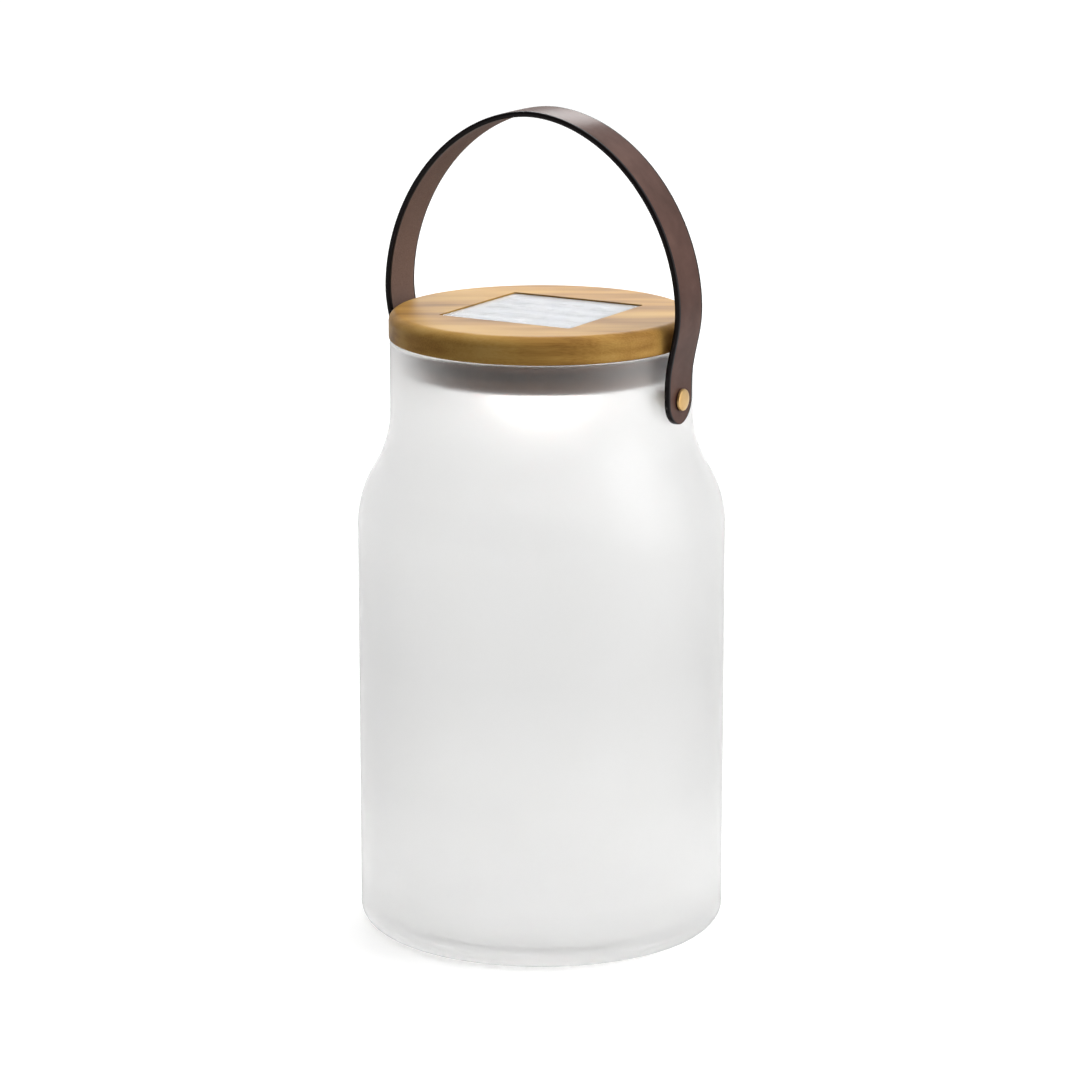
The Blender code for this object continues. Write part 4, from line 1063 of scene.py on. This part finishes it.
def make_plug():
    plug_low, plug_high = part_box("plug_housing")
    seal_low, seal_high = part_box("plug_seal")
    height = plug_high.z - plug_low.z

    def radius_at(z):
        return PLUG_LOW_R + (PLUG_TOP_R - PLUG_LOW_R) * (z - plug_low.z) / height

    groove = (seal_low.z - CLEARANCE, seal_high.z + CLEARANCE)
    floor_z = plug_low.z + PLUG_FLOOR_T
    sunk_z = plug_low.z + 0.5 * MM  # where a boss or a post starts, inside the floor
    outline = [(PLUG_TOP_R, plug_high.z), (radius_at(groove[1]), groove[1]), (GROOVE_R, groove[1]),
               (GROOVE_R, groove[0]), (radius_at(groove[0]), groove[0])]
    outline += arc(PLUG_LOW_R - 0.8 * MM, plug_low.z + 0.8 * MM, 0.8 * MM, 0, -90, 6)
    outline += [(LIGHT_R, plug_low.z), (LIGHT_R, floor_z), (PLUG_LOW_R - 2.6 * MM, floor_z),
                (GROOVE_R - 1.6 * MM, plug_high.z)]
    plug = spin("stopper_plug", outline, TURN_STEPS, (finishes["plug_plastic"],))

    def stand(name, screw, radius, top_z, sides):
        """Joins an upright pillar round a screw onto the floor."""
        carve(plug, spin(name, [(0, sunk_z), (radius, sunk_z), (radius, top_z), (0, top_z)], sides,
                         centre=(screw.x, screw.y, 0)), operation="UNION")

    for i in range(1, 5):
        screw = middle(f"lid_screw_{i}")
        sink_z = low(f"lid_screw_{i}").z + LID_HEAD_T
        stepped = [(0, plug_high.z + MM), (LID_SCREW_R, plug_high.z + MM), (LID_SCREW_R, sink_z),
                   (LID_HEAD_R, sink_z), (LID_HEAD_R, plug_low.z - MM), (0, plug_low.z - MM)]
        stand("boss", screw, LID_BOSS_R, plug_high.z, 40)
        carve(plug, spin("screw_hole", stepped, 40, centre=(screw.x, screw.y, 0)))
    for i in (1, 2):
        top_z = low("charge_board").z - CLEARANCE
        stand("post", middle(f"board_screw_{i}"), BOARD_POST_R, top_z, 32)
        carve(plug, hole_at(f"board_screw_{i}", BOARD_PILOT_R, floor_z, top_z + MM))
    for i in range(1, 4):
        carve(plug, hole_at(f"ring_screw_{i}", RING_SCREW_R, plug_low.z - MM, floor_z + MM))
    knob = middle("power_switch")
    half_x, half_y = SLOT_HALF
    travel = joints["switch_slide"]["range_m"][1]
    carve(plug, slab("slot", (knob.x - half_x, knob.y - half_y, plug_low.z - MM),
                     (knob.x + half_x + travel, knob.y + half_y, floor_z + MM), 0.4 * MM))
    smooth(plug, 32)
    return piece(plug, "lid", "plug_plastic", "plug_housing")


def make_seal():
    """A silicone ring with two soft ribs that press on the glass."""
    seal_low, seal_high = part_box("plug_seal")
    inner_r, outer_r = 61.8 * MM, seal_high.x
    rib = (seal_high.z - seal_low.z) / 4
    waist_r = outer_r - rib
    outline = [(inner_r, seal_high.z)] + arc(waist_r, seal_high.z - rib, rib, 90, -90, 10)
    outline += arc(waist_r, seal_low.z + rib, rib, 90, -90, 10)[1:] + [(inner_r, seal_low.z)]
    seal = spin("silicone_seal", outline, 192, (finishes["silicone"],))
    smooth(seal, 40)
    return piece(seal, "lid", "silicone", "plug_seal")


make_plug()
make_seal()


# %% The light's dome and ring
def make_dome():
    dome_low, dome_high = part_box("diffuser_dome")
    flange_r, flange_t, wall = dome_high.x, 0.9 * MM, 1.6 * MM
    flange_z = dome_high.z - flange_t
    dome_r, depth = flange_r - 2.4 * MM, flange_z - dome_low.z
    turn = np.linspace(0, pi / 2, 20)
    outline = [(dome_r - wall, dome_high.z), (flange_r, dome_high.z), (flange_r, flange_z)]
    outline += [(dome_r * cos(t), flange_z - depth * sin(t)) for t in turn[:-1]]
    outline += [(0, dome_low.z), (0, dome_low.z + wall)]
    outline += [((dome_r - wall) * cos(t), flange_z - (depth - wall) * sin(t))
                for t in turn[::-1][1:]]
    dome = spin("opal_dome", outline, 128, (finishes["diffuser"],))
    smooth(dome, 40)
    return piece(dome, "lid", "diffuser", "diffuser_dome")


def make_ring():
    ring_low, ring_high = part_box("lens_ring")
    outer, inner, rebate = ring_high.x, 21.4 * MM, 23.8 * MM
    rebate_z = ring_low.z + 1.2 * MM
    outline = [(rebate, ring_high.z)]
    outline += arc(outer - 0.6 * MM, ring_high.z - 0.6 * MM, 0.6 * MM, 90, 0, 4)
    outline += arc(outer - 0.9 * MM, ring_low.z + 0.9 * MM, 0.9 * MM, 0, -90, 5)
    outline += arc(inner + 0.3 * MM, ring_low.z + 0.3 * MM, 0.3 * MM, -90, -180, 3)
    outline += [(inner, rebate_z), (rebate, rebate_z)]
    ring = spin("dome_ring", outline, 128, (finishes["white_plastic"],))
    for i in range(1, 4):
        carve(ring, hole_at(f"ring_screw_{i}", RING_SCREW_R, ring_low.z - MM, ring_high.z + MM))
    smooth(ring, 35)
    return piece(ring, "lid", "white_plastic", "lens_ring")


make_dome()
make_ring()

# %% [markdown]
# What stays as the CAD made it is small or hidden: screws, wires, boards, washers and the battery.
# The record says what each one is made of, and that slot's finish goes on it.

# %% Finishes for the CAD nodes that stay
slots = {row["node"]: row["material_slot"] for row in frame["record"]["subparts"]}
for name, obj in frame["nodes"].items():
    if not obj.hide_render:
        obj.data.materials.clear()
        obj.data.materials.append(finishes[slots[name]])
print("CAD nodes shown:", sum(not o.hide_render for o in frame["nodes"].values()))

# %% Pieces made, and the end
print("pieces made:", len(made))
